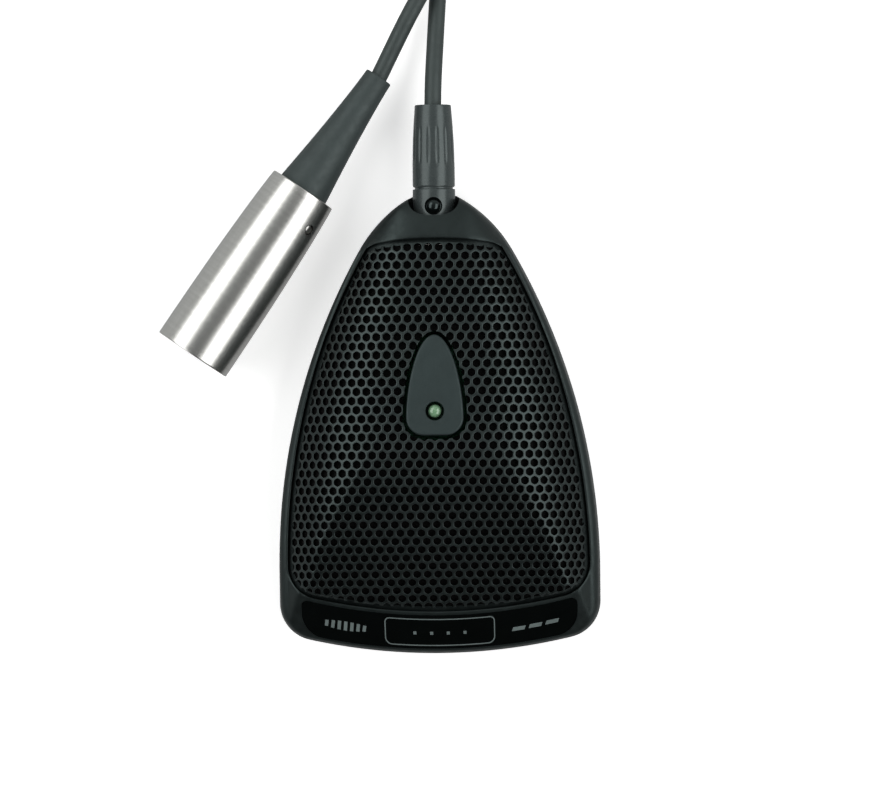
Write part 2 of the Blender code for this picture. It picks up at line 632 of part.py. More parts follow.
def build_plug():
    profile = [(4.9, 56.3), (PLUG_R / MM, 56.0), (PLUG_R / MM, 49.7), (4.9, 49.5), (4.35, 49.5), (4.35, 42.6),
               (3.75, 42.6), (3.75, 57.8), (4.55, 57.8), (4.55, 56.3)]
    shell = turned("plug_shell", scaled(profile), 32, SATIN_BLACK, plug_axis)
    hole = rod("latch_hole", 0.0, 9 * MM, 2.15 * MM, 24)
    hole.location = (0.0, LATCH_Y, PLUG_Z)
    cut(shell, hole)

    insert = rod("plug_insert", 41.4 * MM, 48.6 * MM, 3.6 * MM, 28, CHIP_BLACK, plug_axis, 0.3 * MM)
    for index in range(4):
        turn = math.radians(45 + 90 * index)
        socket = rod(f"plug_socket_{index}", 36 * MM, 48.0 * MM, 0.6 * MM, 12, None, plug_axis)
        socket.location.x = PIN_CIRCLE * math.cos(turn)
        socket.location.y = PIN_CIRCLE * math.sin(turn)
        cut(insert, socket)

    profile = [(4.1, 76.4), (4.33, 76.1), (4.75, 70.0), (5.0, 64.0), (5.03, 61.0), (5.03, 57.2), (4.85, 56.8),
               (4.7, 56.8), (4.7, 58.1), (BORE_R / MM, 58.1), (BORE_R / MM, 75.3), (MOUTH_R / MM, 75.5),
               (MOUTH_R / MM, 76.4)]
    sleeve = turned("plug_sleeve", scaled(profile), 28, SATIN_BLACK, plug_axis)
    for index in range(14):
        turn = math.tau * (index + 0.5) / 14
        flute = rod(f"flute_{index}", -3.4 * MM, 3.4 * MM, 0.4 * MM, 8, None, plug_axis, 0.3 * MM)
        flute.location = (5.1 * MM * math.cos(turn), 5.1 * MM * math.sin(turn), 66.4 * MM)
        cut(sleeve, flute)

    profile = [(0.0, 5.95), (0.9, 5.8), (1.55, 5.35), (1.95, 4.6), (1.95, 2.75), (2.3, 2.75), (2.3, 2.3),
               (0.0, 2.3)]
    button = turned("latch_button", scaled(profile), 24, GLOSS_BLACK, ring=False)
    button.location = (0.0, LATCH_Y, PLUG_Z)
    spring = block("latch_spring", (1.6 * MM, 5.4 * MM, 0.3 * MM), (0.0, LATCH_Y, PLUG_Z + 0.9 * MM), STEEL)
    foot_size = (1.6 * MM, 0.3 * MM, 1.2 * MM)
    foot = block("latch_spring_foot", foot_size, (0.0, 2.4 * MM, -0.5 * MM), None, spring)
    cut(spring, foot, "UNION")
    rod("cable_end_plug", 59.0 * MM, 74.6 * MM, CABLE_R, 24, CABLE_GREY, plug_axis)


def smooth_path(guides, steps):
    """Points of a Catmull-Rom curve through the guide points."""
    first = [2 * a - b for a, b in zip(guides[0], guides[1])]
    last = [2 * a - b for a, b in zip(guides[-1], guides[-2])]
    knots = [first] + [list(point) for point in guides] + [last]
    points = []
    for p0, p1, p2, p3 in zip(knots, knots[1:], knots[2:], knots[3:]):
        for step in range(steps):
            t = step / steps
            points.append([0.5 * (2 * b + (c - a) * t + (2 * a - 5 * b + 4 * c - d) * t * t
                                  + (3 * b - a - 3 * c + d) * t ** 3) for a, b, c, d in zip(p0, p1, p2, p3)])
    return points + [list(guides[-1])]


def cable_guides():
    """Way of the cable: down from the plug, round its loop and over itself to the connector."""
    end = xlr_point(XLR_LENGTH)
    guides = [(0.0, 76.4, 9.3), (0.2, 83.0, 8.5), (0.8, 94.0, 5.4), (1.6, 108.0, 2.75), (1.9, 122.0, 2.3)]
    guides += [(2.2, 137.0, 2.25)]
    for turn in (172, 135, 98, 61, 24, -13):
        angle = math.radians(turn)
        guides.append((20.0 + 17.6 * math.cos(angle), 151.0 + 17.6 * math.sin(angle), 2.25))
    guides += [(31.0, 137.4, 2.5), (20.0, 127.0, 4.2), (10.0, 118.6, 6.9), (1.7, 109.6, 8.1),
               (-4.9, 98.9, 8.2)]
    return [tuple(value * MM for value in point) for point in guides] + [end]


def xlr_point(along):
    """World place of a point on the in-line connector's axis."""
    level_run = along * math.cos(XLR_TILT)
    return (XLR_FRONT[0] - level_run * math.sin(XLR_HEADING),
            XLR_FRONT[1] + level_run * math.cos(XLR_HEADING),
            XLR_FRONT[2] - along * math.sin(XLR_TILT))


def build_cable():
    curve = bpy.data.curves.new("cable_path", "CURVE")
    curve.dimensions = "3D"
    curve.bevel_depth = CABLE_R
    curve.bevel_resolution = 2
    curve.use_fill_caps = True
    spline = curve.splines.new("POLY")
    points = smooth_path(cable_guides(), 3)
    spline.points.add(len(points) - 1)
    for knot, point in zip(spline.points, points):
        knot.co = (*point, 1.0)
    guide = bpy.data.objects.new("cable_guide", curve)
    cutters.objects.link(guide)
    mesh = as_mesh(guide)
    bpy.data.objects.remove(guide, do_unlink=True)
    place("cable", mesh, CABLE_GREY)


# ---------------------------------------------------------------- in-line connector
def build_xlr():
    outer = [(8.2, 47.5), (8.33, 47.3), (8.5, 45.5), (9.0, 36.0), (9.38, 24.0), (9.55, 12.0), (9.6, 0.3),
             (9.5, 0.0)]
    inner = [(8.4, 0.0), (8.1, 0.6), (8.1, 24.6), (7.5, 24.6), (7.2, 44.0), (6.6, 44.4), (6.6, 47.5)]
    shell = turned("xlr_shell", scaled(outer + inner), 36, NICKEL, xlr_axis)
    screw_turn = math.radians(-38)
    seat = empty("screw_seat", (0.0, 0.0, 40.1 * MM), (0.0, math.radians(90), screw_turn), xlr_axis)
    cut(shell, rod("screw_hole", 5 * MM, 12 * MM, 1.15 * MM, 16, None, seat))
    profile = [(0.0, 8.75), (0.75, 8.7), (0.95, 8.45), (0.95, 7.0), (0.0, 7.0)]
    screw = turned("xlr_screw", scaled(profile), 16, NICKEL, seat, ring=False)
    cut(screw, block("xlr_screw_slot", (3 * MM, 0.35 * MM, 0.5 * MM), (0.0, 0.0, 8.7 * MM), None, seat))

    insert = rod("xlr_insert", 16.5 * MM, 24.4 * MM, 7.9 * MM, 28, CHIP_BLACK, xlr_axis, 0.3 * MM)
    for index, degrees in enumerate((30, 150, 270), 1):
        turn = math.radians(degrees)
        spot = (4.2 * MM * math.cos(turn), 4.2 * MM * math.sin(turn))
        pin = rod(f"xlr_pin_{index}", 3.0 * MM, 28.0 * MM, 1.18 * MM, 16, NICKEL, xlr_axis, 0.4 * MM)
        pin.location.x, pin.location.y = spot
        hole = rod(f"xlr_pin_hole_{index}", 12 * MM, 30 * MM, 1.3 * MM, 16, None, xlr_axis)
        hole.location.x, hole.location.y = spot
        cut(insert, hole)
    profile = [(5.9, 41.0), (5.9, 31.0), (2.4, 31.0), (2.4, 41.0)]
    turned("xlr_clamp", scaled(profile), 28, CHIP_BLACK, xlr_axis)

    taper = []
    for step in range(9):
        t = step / 8
        taper.append((BOOT_TIP_R + (BOOT_BASE_R - BOOT_TIP_R) * (1 - t) ** 1.35,
                      BOOT_START + t * (XLR_LENGTH - BOOT_START)))
    profile = list(reversed(taper)) + [(BOOT_BASE_R, 42.4 * MM), (BORE_R, 42.4 * MM)]
    profile += [(BORE_R, 78.6 * MM), (MOUTH_R, 78.8 * MM), (MOUTH_R, XLR_LENGTH)]
    turned("xlr_boot", profile, 24, BOOT_GREY, xlr_axis)
    rod("cable_end_xlr", 29.5 * MM, 78.0 * MM, CABLE_R, 24, CABLE_GREY, xlr_axis)


clear_scene()
parts = new_collection("desktop_microphone")
cutters = new_collection("cutters")
plug_axis = empty("plug_axis", (0.0, 0.0, PLUG_Z), (math.radians(-90), 0.0, 0.0))
xlr_axis = empty("xlr_axis", XLR_FRONT, (math.radians(-90) - XLR_TILT, 0.0, XLR_HEADING))
build_housing()
build_floor()
build_grille()
build_indicator()
build_board()
build_mode_switch()
build_capsule()
build_key()
build_jack()
build_plug()
build_cable()
build_xlr()
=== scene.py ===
"""Looks of the desktop microphone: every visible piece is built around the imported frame, in metres."""
import math

import bmesh
import bpy
from mathutils import Matrix, Vector


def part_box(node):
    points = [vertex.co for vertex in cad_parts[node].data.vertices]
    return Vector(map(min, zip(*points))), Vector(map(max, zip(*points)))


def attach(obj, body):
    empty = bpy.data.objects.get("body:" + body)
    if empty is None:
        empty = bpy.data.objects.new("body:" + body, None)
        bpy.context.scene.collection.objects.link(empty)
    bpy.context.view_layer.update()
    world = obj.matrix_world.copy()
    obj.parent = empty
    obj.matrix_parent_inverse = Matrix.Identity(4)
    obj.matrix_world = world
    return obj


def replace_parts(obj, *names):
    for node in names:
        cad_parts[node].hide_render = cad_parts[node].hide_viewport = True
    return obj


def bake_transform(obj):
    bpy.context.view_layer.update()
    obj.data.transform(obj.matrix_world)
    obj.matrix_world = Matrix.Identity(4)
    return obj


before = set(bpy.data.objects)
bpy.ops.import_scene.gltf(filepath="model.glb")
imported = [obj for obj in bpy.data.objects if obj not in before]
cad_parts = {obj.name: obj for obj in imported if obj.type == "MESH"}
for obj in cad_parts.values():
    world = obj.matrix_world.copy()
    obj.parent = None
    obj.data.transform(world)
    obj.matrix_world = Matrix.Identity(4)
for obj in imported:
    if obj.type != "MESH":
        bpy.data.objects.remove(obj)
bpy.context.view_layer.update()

MM = 0.001

# Housing outline.
HOUSING_LOW, HOUSING_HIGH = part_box("housing")
FRONT_R = 140.0 * MM
FRONT_CENTRE_Y = HOUSING_LOW.y + FRONT_R
FRONT_END = math.radians(-77.0)
CORNER_R = 9.0 * MM
SIDE_R = 155.0 * MM
SIDE_Y = -34.5 * MM
HALF_WIDTH = HOUSING_HIGH.x
NOSE_START = math.radians(29.5)
NOSE_R = 34.0 * MM
REAR_Y = HOUSING_HIGH.y
WALL = 2.2 * MM
RECESS_TOP = 2.4 * MM

# Grille opening.
OPENING_FRONT_R = 129.8 * MM
OPENING_CORNER_R = 8.0 * MM
OPENING_HALF = 36.1 * MM
OPENING_SIDE_R = 163.5 * MM
OPENING_REAR_Y = 44.45 * MM
OPENING_REAR_ARC_R = 90.0 * MM
OPENING_REAR_R = 7.0 * MM

# Crown and front face.
PEAK_Z = 24.0 * MM
PEAK_Y = -7.0 * MM
REAR_FALL = 2.36
FRONT_FALL = 4.2
SIDE_GAIN = 1.4
SIDE_POWER = 2.8
SIDE_STEEPEST = 1.05
RIM_SLOPE = 0.45
FACET_LIFT = 0.3 * MM
FACET_SLOPE = 0.25
FACET_BEND = 4.0
NOSE_Z = 9.0 * MM
NOSE_RISE = 8.3 * MM
NOSE_Y = 44.0 * MM
NOSE_LENGTH = 11.2 * MM
FACE_FOOT_Z = 2.6 * MM
FACE_RISE = 0.65

# Perforated sheet.
PITCH = 2.5 * MM
HOLE_R = 0.93 * MM
HOLE_CORNER = 0.06 * MM
SHEET = 0.7 * MM
SHEET_DROP = 0.3 * MM
SHEET_INSET = 0.9 * MM

# Push film: near, far, half width and two corner radii, from the housing's front edge.
LABEL = (1.1 * MM, 9.3 * MM, 33.0 * MM, 4.5 * MM, 1.6 * MM)
KEY = (1.8 * MM, 8.4 * MM, 13.2 * MM, 1.7 * MM, 1.2 * MM)
BAND_COLUMNS = 64
BAND_ROWS = 6
FILM_LOW = -0.4 * MM
FILM_HIGH = -0.05 * MM
PRINT_LOW = -0.06 * MM
PRINT_HIGH = -0.02 * MM

# Indicator window.
BEZEL_TIP_Y = 21.5 * MM
BEZEL_WIDE_Y = 1.85 * MM
BEZEL_BASE_Y = -2.35 * MM
BEZEL_HALF = 6.8 * MM
BEZEL_CORNER_R = 4.2 * MM
BEZEL_TAPER = 1.7
BEZEL_PROUD = 0.5 * MM
LIGHT_Y = 3.4 * MM
LIGHT_BORE_R = 2.2 * MM


def middle(node):
    low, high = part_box(node)
    return (low + high) / 2


# Plug and cable.
POCKET_Y = 54.5 * MM
POCKET_DEPTH = 4.6 * MM
POCKET_HALF = 6.15 * MM
PLUG_Z = middle("jack_shell").z
LATCH_Y = middle("latch_button").y
FLUTES = 14
CABLE_R = 2.03 * MM

# The connector's axis runs through the middles of its insert and its clamp.
INSERT_ALONG = 20.45 * MM
XLR_AXIS = (middle("xlr_clamp") - middle("xlr_insert")).normalized()
XLR_FRONT = middle("xlr_insert") - XLR_AXIS * INSERT_ALONG
XLR_LENGTH = 79.9 * MM


# ---------------------------------------------------------------- mesh helpers
def new_object(name, mesh):
    obj = bpy.data.objects.new(name, mesh)
    bpy.context.scene.collection.objects.link(obj)
    return obj


def shade(mesh, angle=35):
    mesh.shade_smooth()
    mesh.set_sharp_from_angle(angle=math.radians(angle))


def from_bmesh(name, bm, angle=35):
    bmesh.ops.recalc_face_normals(bm, faces=bm.faces)
    mesh = bpy.data.meshes.new(name)
    bm.to_mesh(mesh)
    bm.free()
    shade(mesh, angle)
    return new_object(name, mesh)


def loft(name, rings, closed=False, angle=35):
    """Skin a stack of equal rings; an open stack gets a fan over each end."""
    bm = bmesh.new()
    rows = [[bm.verts.new(point) for point in ring] for ring in rings]
    count = len(rows[0])
    pairs = list(zip(rows, rows[1:]))
    if closed:
        pairs.append((rows[-1], rows[0]))
    for low, high in pairs:
        for i in range(count):
            j = (i + 1) % count
            bm.faces.new((low[i], low[j], high[j], high[i]))
    if not closed:
        for row in (rows[0], rows[-1]):
            hub = bm.verts.new(sum((v.co for v in row), Vector()) / count)
            for i in range(count):
                bm.faces.new((row[i], row[(i + 1) % count], hub))
    return from_bmesh(name, bm, angle)


def turned(name, profile, steps=96, closed=False, wave=None, angle=35):
    """Turn (radius, height) points in millimetres about +Z; wave(turn, height) trims the radius."""
    rings = []
    for radius, height in profile:
        ring = []
        for step in range(steps):
            turn = math.tau * step / steps
            reach = (radius - wave(turn, height) if wave else radius) * MM
            ring.append(Vector((reach * math.cos(turn), reach * math.sin(turn), height * MM)))
        rings.append(ring)
    return loft(name, rings, closed, angle)


def rounded(profile, radius, steps=3, closed=True):
    """Round the corners of a (radius, height) profile by up to the given radius."""
    out = []
    count = len(profile)
    for i, here in enumerate(profile):
        here = Vector(here)
        if not closed and i in (0, count - 1):
            out.append(tuple(here))
            continue
        before = Vector(profile[i - 1]) - here
        after = Vector(profile[(i + 1) % count]) - here
        if before.angle(after) > math.radians(165):
            out.append(tuple(here))
            continue
        reach = min(radius, before.length * 0.45, after.length * 0.45)
        start = here + before.normalized() * reach
        end = here + after.normalized() * reach
        for step in range(steps + 1):
            t = step / steps
            out.append(tuple(start * (1 - t) ** 2 + here * (2 * t * (1 - t)) + end * (t * t)))
    return out


def apply_modifiers(obj):
    bpy.context.view_layer.update()
    graph = bpy.context.evaluated_depsgraph_get()
    mesh = bpy.data.meshes.new_from_object(obj.evaluated_get(graph))
    obj.modifiers.clear()
    obj.data = mesh


def cut(obj, cutter, operation="DIFFERENCE"):
    modifier = obj.modifiers.new("cut", "BOOLEAN")
    modifier.operation = operation
    modifier.solver = "EXACT"
    modifier.object = cutter
    apply_modifiers(obj)
    bpy.data.objects.remove(cutter, do_unlink=True)
    shade(obj.data)


def put(obj, place):
    """Move an object's mesh to its place and leave its origin where it is."""
    obj.data.transform(place)
    return obj


def plug_frame():
    """Local +Z runs along the plug's axis, so a height there is a place in Y."""
    return Matrix.Translation((0.0, 0.0, PLUG_Z)) @ Matrix.Rotation(math.radians(-90), 4, "X")


def xlr_frame():
    """Local +Z runs from the connector's open end to its boot, and local -Y points up."""
    side = Vector((XLR_AXIS.y, -XLR_AXIS.x, 0.0)).normalized()
    down = XLR_AXIS.cross(side)
    turn = Matrix((side, down, XLR_AXIS)).transposed().to_4x4()
    return Matrix.Translation(XLR_FRONT) @ turn


# ---------------------------------------------------------------- outlines
def arc(cx, cy, radius, start, end, steps):
    """Arc points with their outward normals, as (x, y, nx, ny)."""
    out = []
    for i in range(steps + 1):
        turn = start + (end - start) * i / steps
        c, s = math.cos(turn), math.sin(turn)
        out.append((cx + radius * c, cy + radius * s, c, s))
    return out


def to_middle(half):
    """Straight run from a half outline's last point to the middle."""
    x, y, nx, ny = half[-1]
    straight = []
    for i in range(1, 6):
        share = 1 - i / 5
        straight.append((x * share, y, nx * share, math.copysign(math.sqrt(1 - (nx * share) ** 2), ny)))
    return half + straight


def both_sides(half):
    """Close a right-hand half outline by mirroring it."""
    return half + [(-x, y, -nx, ny) for x, y, nx, ny in reversed(half[1:-1])]


def meeting_point(a, reach_a, b, reach_b):
    """Point at the given distances from centres a and b, on the rear side."""
    dx, dy = b[0] - a[0], b[1] - a[1]
    gap = math.hypot(dx, dy)
    along = (gap ** 2 + reach_a ** 2 - reach_b ** 2) / (2 * gap)
    off = math.sqrt(reach_a ** 2 - along ** 2)
    return a[0] + (dx * along - dy * off) / gap, a[1] + (dy * along + dx * off) / gap


def housing_outline():
    corner_x = (FRONT_R - CORNER_R) * math.cos(FRONT_END)
    corner_y = FRONT_CENTRE_Y + (FRONT_R - CORNER_R) * math.sin(FRONT_END)
    side_x = HALF_WIDTH - SIDE_R
    nose_x = side_x + (SIDE_R - NOSE_R) * math.cos(NOSE_START)
    nose_y = SIDE_Y + (SIDE_R - NOSE_R) * math.sin(NOSE_START)
    nose_end = math.asin((REAR_Y - nose_y) / NOSE_R)
    half = arc(0.0, FRONT_CENTRE_Y, FRONT_R, -math.pi / 2, FRONT_END, 26)
    half += arc(corner_x, corner_y, CORNER_R, FRONT_END, 0.0, 14)[1:]
    half += arc(side_x, SIDE_Y, SIDE_R, 0.0, NOSE_START, 60)
    half += arc(nose_x, nose_y, NOSE_R, NOSE_START, nose_end, 16)[1:]
    return both_sides(to_middle(half))


def opening_outline():
    corner_x = OPENING_HALF - OPENING_CORNER_R
    reach = OPENING_FRONT_R - OPENING_CORNER_R
    front_end = -math.acos(corner_x / reach)
    corner_y = FRONT_CENTRE_Y + reach * math.sin(front_end)
    side_x = OPENING_HALF - OPENING_SIDE_R
    arc_y = OPENING_REAR_Y - OPENING_REAR_ARC_R
    rear_x, rear_y = meeting_point((side_x, SIDE_Y), OPENING_SIDE_R - OPENING_REAR_R,
                                   (0.0, arc_y), OPENING_REAR_ARC_R - OPENING_REAR_R)
    side_start = math.asin((corner_y - SIDE_Y) / OPENING_SIDE_R)
    rear_turn = math.atan2(rear_y - SIDE_Y, rear_x - side_x)
    lip_turn = math.atan2(rear_y - arc_y, rear_x)
    half = arc(0.0, FRONT_CENTRE_Y, OPENING_FRONT_R, -math.pi / 2, front_end, 26)
    half += arc(corner_x, corner_y, OPENING_CORNER_R, front_end, 0.0, 14)[1:]
    half += arc(side_x, SIDE_Y, OPENING_SIDE_R, side_start, rear_turn, 61)[1:]
    half += arc(rear_x, rear_y, OPENING_REAR_R, rear_turn, lip_turn, 16)[1:]
    half += arc(0.0, arc_y, OPENING_REAR_ARC_R, lip_turn, math.pi / 2, 5)[1:]
    return both_sides(half)


def teardrop_outline():
    """Indicator window: a tapered tip on a base with rounded corners."""
    half_y = BEZEL_TIP_Y - BEZEL_WIDE_Y
    half = []
    for step in range(33):
        ahead = math.sin(math.pi / 2 * (1 - step / 32))
        x = BEZEL_HALF * math.sqrt(1 - ahead ** BEZEL_TAPER)
        steepness = BEZEL_TAPER * ahead ** (BEZEL_TAPER - 1) / half_y
        slope = Vector((2 * x / BEZEL_HALF ** 2, steepness)).normalized()
        half.append((x, BEZEL_WIDE_Y + half_y * ahead, slope.x, slope.y))
    centre_x = BEZEL_HALF - BEZEL_CORNER_R
    half += arc(centre_x, BEZEL_BASE_Y + BEZEL_CORNER_R, BEZEL_CORNER_R, 0.0, -math.pi / 2, 12)[1:]
    return both_sides(to_middle(half))


def pocket_outline():
    """Plan of the plug's pocket in the nose: a blunt round end that is open to the rear."""
    spots = []
    for step in range(33):
        turn = math.pi * step / 32
        across = math.copysign(abs(math.cos(turn)) ** 0.8, -math.cos(turn))
        spots.append((POCKET_HALF * across, POCKET_Y - POCKET_DEPTH * math.sin(turn) ** 0.8))
    return spots + [(POCKET_HALF, 64 * MM), (-POCKET_HALF, 64 * MM)]


def moved_in(outline, distance):
    return [(x - nx * distance, y - ny * distance) for x, y, nx, ny in outline]


# ---------------------------------------------------------------- surfaces
def soft_min(a, b, width):
    overlap = max(width - abs(a - b), 0.0) / width
    return min(a, b) - overlap * overlap * width / 4


def half_opening(y):
    return OPENING_HALF - OPENING_SIDE_R + math.sqrt(OPENING_SIDE_R ** 2 - max(y - SIDE_Y, 0.0) ** 2)


def side_slope(share):
    """Fall per millimetre at a share of the opening's half width."""
    return min(SIDE_GAIN * share ** SIDE_POWER, SIDE_STEEPEST)


def side_drop(x, y):
    """Fall from the ridge to the side: it steepens across the opening, then eases over the rim."""
    half = half_opening(y)
    share = abs(x) / half
    steep_at = (SIDE_STEEPEST / SIDE_GAIN) ** (1 / SIDE_POWER)
    curved = SIDE_GAIN / (SIDE_POWER + 1) * min(share, steep_at) ** (SIDE_POWER + 1)
    straight = SIDE_STEEPEST * max(min(share, 1.0) - steep_at, 0.0)
    return half * (curved + straight + RIM_SLOPE * max(share - 1.0, 0.0))


def crown(x, y):
    """Height of the domed top above the desk."""
    back = y - PEAK_Y
    ridge = PEAK_Z - (REAR_FALL if back > 0 else FRONT_FALL) * back * back
    dome = ridge - side_drop(x, y)
    if back < 0:
        facet = PEAK_Z + FACET_LIFT + FACET_SLOPE * back - FACET_BEND * back * back
        dome = soft_min(dome, facet, 1.2 * MM)
    if y > NOSE_Y:
        reach = min((y - NOSE_Y) / NOSE_LENGTH, 1.0)
        dome = soft_min(dome, NOSE_Z + NOSE_RISE * math.sqrt(1.0 - reach * reach), 0.8 * MM)
    return dome


def face_height(x, y):
    """Height of the sloped front face above the desk."""
    return FACE_FOOT_Z + FACE_RISE * (FRONT_R - math.hypot(x, y - FRONT_CENTRE_Y))


def top_height(x, y):
    return soft_min(crown(x, y), face_height(x, y), 0.5 * MM)


def raised(spots, height, lift=0.0):
    """Spots on the plan, at a fixed height or on a surface, lifted by a distance."""
    if callable(height):
        return [Vector((x, y, height(x, y) + lift)) for x, y in spots]
    return [Vector((x, y, height + lift)) for x, y in spots]


# ---------------------------------------------------------------- housing
def shell_rings():
    """Rings of the shell from its underside, over the rim and down inside the opening."""
    outer = housing_outline()
    opening = opening_outline()
    floor_z = HOUSING_LOW.z
    draft = 0.35 * MM

    def fillet(x, y):
        return min(1.3 * MM, 0.36 * (top_height(x, y) - floor_z))

    rings = [raised(moved_in(outer, WALL), floor_z)]
    for inset, lift in ((0.35, 0.0), (0.1, 0.1), (0.0, 0.35)):
        rings.append(raised(moved_in(outer, inset * MM), floor_z, lift * MM))
    wall_foot = floor_z + 0.35 * MM
    for share in (0.25, 0.5, 0.75, 1.0):
        ring = []
        for x, y in moved_in(outer, draft * share):
            shoulder = top_height(x, y) - fillet(x, y)
            ring.append(Vector((x, y, wall_foot + (shoulder - wall_foot) * share)))
        rings.append(ring)
    for step in range(1, 6):
        turn = math.pi / 2 * step / 5
        ring = []
        for x, y, nx, ny in outer:
            radius = fillet(x, y)
            inset = draft + radius * (1 - math.cos(turn))
            px, py = x - nx * inset, y - ny * inset
            ring.append(Vector((px, py, top_height(px, py) - radius * (1 - math.sin(turn)))))
        rings.append(ring)
    edge = rings[-1]
    rim = moved_in(opening, -0.45 * MM)
    for step in range(1, 15):
        share = step / 14
        spots = [(a.x + (x - a.x) * share, a.y + (y - a.y) * share) for a, (x, y) in zip(edge, rim)]
        rings.append(raised(spots, top_height))
    for inset, drop in ((-0.2, 0.09), (-0.05, 0.24), (0.0, 0.45), (0.0, 1.4)):
        rings.append(raised(moved_in(opening, inset * MM), top_height, -drop * MM))
    rings.append(raised(moved_in(opening, 1.3 * MM), crown, -1.5 * MM))
    rings.append(raised(moved_in(opening, 1.3 * MM), RECESS_TOP))
    rings.append(raised(moved_in(outer, WALL), RECESS_TOP))
    return rings


def build_housing():
    shell = loft("housing_shell", shell_rings(), closed=True)
    cut(shell, put(turned("channel", [(6.2, 49.2), (6.2, 64.0)]), plug_frame()))
    pocket = [raised(pocket_outline(), height) for height in (PLUG_Z + 0.5 * MM, 30 * MM)]
    cut(shell, loft("pocket", pocket))
    cut(shell, put(turned("bore", [(5.1, 36.0), (5.1, 49.6)], 64), plug_frame()))
    cut(shell, face_sheet("label_seat", LABEL, -0.45 * MM, 12 * MM))
    cut(shell, face_sheet("key_well", KEY, -0.85 * MM, 12 * MM, 0.25 * MM))
    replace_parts(shell, "housing")
    return finish_piece(shell, "base", "housing_paint")


# ---------------------------------------------------------------- push film
def face_sheet(name, band, low, high, grow=0.0, columns=BAND_COLUMNS):
    """Solid over a band of the front face, from low to high above it.

    A band is (near, far, half width, near corner, far corner).
    """
    near, far, half, near_r, far_r = band
    near, far, half = near - grow, far + grow, half + grow
    bm = bmesh.new()
    layers = []
    for lift in (high, low):
        grid = []
        for column in range(columns + 1):
            x = half * math.sin(math.pi / 2 * (2 * column / columns - 1))
            start = near + corner_trim(abs(x), half, near_r)
            end = far - corner_trim(abs(x), half, far_r)
            line = []
            for row in range(BAND_ROWS + 1):
                inward = start + (end - start) * row / BAND_ROWS
                y = FRONT_CENTRE_Y - math.sqrt((FRONT_R - inward) ** 2 - x * x)
                line.append(bm.verts.new((x, y, face_height(x, y) + lift)))
            grid.append(line)
        layers.append(grid)
    for grid in layers:
        for a, b in zip(grid, grid[1:]):
            for row in range(BAND_ROWS):
                bm.faces.new((a[row], b[row], b[row + 1], a[row + 1]))
    top, bottom = (rim_of(grid) for grid in layers)
    for i in range(len(top)):
        j = (i + 1) % len(top)
        bm.faces.new((top[i], top[j], bottom[j], bottom[i]))
    return from_bmesh(name, bm)


def corner_trim(x, half, radius):
    beyond = max(x - (half - radius), 0.0)
    return radius - math.sqrt(max(radius * radius - beyond * beyond, 0.0))


def rim_of(grid):
    """Vertices round the edge of a grid of lines, in order."""
    start = [line[0] for line in grid]
    end = [line[-1] for line in grid]
    return start + grid[-1][1:] + end[-2::-1] + grid[0][-2:0:-1]


def face_ring(name, band, width):
    """Thin printed line just inside a rounded band of the front face."""
    loops = []
    for inset in (0.0, width):
        near, far, half, near_r, far_r = band
        smaller = (near + inset, far - inset, half - inset, near_r - inset, far_r - inset)
        sheet = face_sheet("ring_guide", smaller, 0.0, 0.0)
        loops.append(rim_points(sheet))
    outer, inner = loops
    corners = ((outer, PRINT_LOW), (outer, PRINT_HIGH), (inner, PRINT_HIGH), (inner, PRINT_LOW))
    rings = [raised(spots, face_height, lift) for spots, lift in corners]
    return loft(name, rings, closed=True)


def rim_points(sheet):
    """Plan points round the upper rim of a face sheet, which is then thrown away."""
    spots = [(v.co.x, v.co.y) for v in sheet.data.vertices]
    line = BAND_ROWS + 1
    grid = [spots[i * line:(i + 1) * line] for i in range(BAND_COLUMNS + 1)]
    bpy.data.objects.remove(sheet, do_unlink=True)
    return rim_of(grid)


def face_tiles(name, tiles):
    """Small marks on the front face; each is (left, right, near, far, lean) in millimetres."""
    bm = bmesh.new()
    for left, right, near, far, lean in tiles:
        corners = []
        for lift in (PRINT_LOW, PRINT_HIGH):
            for x, inward in ((left, near), (right, near), (right + lean, far), (left + lean, far)):
                x *= MM
                y = FRONT_CENTRE_Y - math.sqrt((FRONT_R - inward * MM) ** 2 - x * x)
                corners.append(bm.verts.new((x, y, face_height(x, y) + lift)))
        for quad in ((0, 1, 2, 3), (4, 5, 6, 7), (0, 1, 5, 4), (1, 2, 6, 5), (2, 3, 7, 6), (3, 0, 4, 7)):
            bm.faces.new([corners[i] for i in quad])
    return from_bmesh(name, bm)


def build_film():
    film = face_sheet("film_overlay", LABEL, FILM_LOW, FILM_HIGH, -0.12 * MM, 96)
    cut(film, face_sheet("film_hole", KEY, -1.0 * MM, 1.0 * MM, 0.2 * MM))
    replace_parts(film, "label_overlay")
    finish_piece(film, "base", "overlay_gloss")
    key = face_sheet("key_film", KEY, FILM_LOW, FILM_HIGH, 0.02 * MM)
    soften(key, 0.05 * MM)
    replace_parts(key, "push_key")
    finish_piece(key, "push_key", "overlay_gloss")
    line = face_ring("key_line", KEY, 0.25 * MM)
    finish_piece(line, "push_key", "overlay_gloss", "print")
    dots = [(x - 0.36, x + 0.36, 4.55, 5.3, 0.0) for x in (-6.0, -2.0, 2.0, 6.0)]
    finish_piece(face_tiles("key_dots", dots), "push_key", "overlay_gloss", "print")
    bars = []
    for index in range(7):
        tall = 1.0 + 1.2 * math.sin(math.pi * (index + 1) / 8)
        bars.append((-27.6 + 1.5 * index, -26.8 + 1.5 * index, 5.0 - tall / 2, 5.0 + tall / 2, 0.25))
    finish_piece(face_tiles("level_mark", bars), "base", "overlay_gloss", "print")
    bars = []
    for index in range(3):
        left = 17.2 + 4.0 * index
        near = 4.1 + 0.1 * index
        bars.append((left, left + 3.0, near, near + 0.9, 0.35))
    finish_piece(face_tiles("line_mark", bars), "base", "overlay_gloss", "print")


